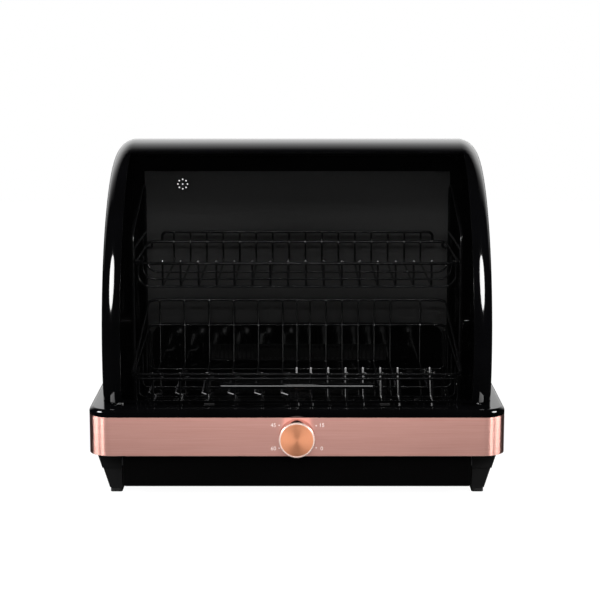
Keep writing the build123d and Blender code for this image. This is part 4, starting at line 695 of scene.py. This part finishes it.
aside = add_node(tree, "ShaderNodeMath", {0: axes.outputs["X"]}, operation="ABSOLUTE")
narrow = add_node(tree, "ShaderNodeMapRange", {"Value": aside.outputs[0], "From Min": ASIDE_END,
                                               "From Max": ASIDE_FULL})
mirror = low_sky.outputs[0]
for share in (above.outputs[0], behind.outputs[0], narrow.outputs[0]):
    mirror = add_node(tree, "ShaderNodeMath", {0: mirror, 1: share}, operation="MULTIPLY").outputs[0]
path = add_node(tree, "ShaderNodeLightPath")
matte = add_node(tree, "ShaderNodeMix", {"Factor": path.outputs["Is Diffuse Ray"], "A": 1.0, "B": MATTE_SKY})
strength = add_node(tree, "ShaderNodeMix", {"Factor": path.outputs["Is Glossy Ray"], "A": matte.outputs[0],
                                            "B": mirror})
glow = add_node(tree, "ShaderNodeBackground", {"Color": paint("#FFFFFF"), "Strength": strength.outputs[0]})
add_node(tree, "ShaderNodeOutputWorld", {"Surface": glow.outputs[0]})


def lamp(name, place, aim, size, power, mirrored=True, shape="RECTANGLE"):
    """A soft lamp aimed at a point; mirrored lamps show in glossy surfaces."""
    data = bpy.data.lights.new(name, "AREA")
    data.shape = shape
    data.size, data.size_y = size
    data.energy = power
    made = bpy.data.objects.new(name, data)
    bpy.context.scene.collection.objects.link(made)
    made.location = place
    made.rotation_euler = (Vector(aim) - Vector(place)).to_track_quat("-Z", "Y").to_euler()
    made.visible_camera = False
    made.visible_glossy = mirrored
    return made


NOTHING = bpy.data.collections.new("nothing_in_the_way")


def shine_on(lights, name, pieces, through=False):
    """Links lamps to these pieces only. With through, nothing in their way casts a shadow."""
    lit = bpy.data.collections.new(name)
    for piece in pieces:
        lit.objects.link(piece)
    for light in lights:
        light.light_linking.receiver_collection = lit
        if through:
            light.light_linking.blocker_collection = NOTHING


# Place, aim, width and height in metres, and power in watts. The cards and the spark light only the few
# pieces that they are linked to below, which no plain studio could do, to bring those nearer the photograph.
BAND_MIDDLE = 0.07
overhead = lamp("overhead_softbox", (0.0, -0.2, 1.7), (0, 0, 0.1), (1.4, 0.9), 14.0, mirrored=False)
fill = lamp("front_fill", (0.0, -2.2, 1.6), (0, 0, 0.2), (0.9, 0.3), 12.0)
card = lamp("band_card", (0.0, -0.95, 0.12), (0, BAND_FRONT, BAND_MIDDLE), (1.6, 0.55), 7.5)
knob_card = lamp("knob_card", (0.0, -0.95, 0.12), tuple(KNOB_MIDDLE), (0.9, 0.5), 8.5)
flags = []
for side, name in ((-1, "left"), (1, "right")):
    corner = (side * BAND_HALF, BAND_FRONT, BAND_MIDDLE)
    flags.append(lamp("corner_card_" + name, (side * 0.96, -0.87, 0.05), corner, (0.26, 0.55), 6.0))
    flags.append(lamp("side_card_" + name, (side * 1.05, -0.20, 0.0), corner, (0.45, 0.5), 8.0))
handle_card = lamp("handle_card", (0.0, -0.9, 0.02), (0, BAND_FRONT, 0.13), (0.5, 0.10), 1.6)
spark = lamp("weld_spark", (0.0, -1.6, 1.3), (0, 0, 0.15), (1.2, 0.7), 420.0)
basket_card = lamp("basket_card", (0.0, at(175), 0.175), (0, at(150), 0.1), (0.40, 0.16), 1.2)
low_card = lamp("upright_card", (0.0, at(95), 0.08), (0, at(316), 0.08), (0.36, 0.045), 0.2)
for side, name in ((-1, "left"), (1, "right")):
    lamp(name + "_softbox", (side * 1.25, -0.56, 0.71), (side * 0.2, -0.1, 0.25), (0.58, 0.62), 20.0,
         shape="ELLIPSE")

shown = [piece for piece in bpy.data.objects if piece.type == "MESH" and not piece.hide_render]


def named(*starts):
    return [piece for piece in shown if piece.name.startswith(starts)]


def all_but(*starts):
    return [piece for piece in shown if not piece.name.startswith(starts)]


welds = [piece for piece in shown if piece.name.endswith("_welds")]
shine_on([fill], "lit_by_fill", all_but("lid_window", "basin"))
shine_on([handle_card], "lit_by_handle_card", named("lid_handle"), through=True)
shine_on([overhead], "lit_from_above", all_but("knob"))
shine_on([card], "lit_by_card", named("trim_band", "knob_skin"), through=True)
shine_on([knob_card], "lit_by_knob_card", named("knob_face"), through=True)
shine_on(flags, "lit_by_flags", named("trim_band"), through=True)
shine_on([spark], "lit_welds", welds, through=True)
shine_on([basket_card, low_card], "lit_wires", named("lower_cross", "lower_basket_welds"), through=True)

bpy.context.scene.view_settings.view_transform = "Standard"
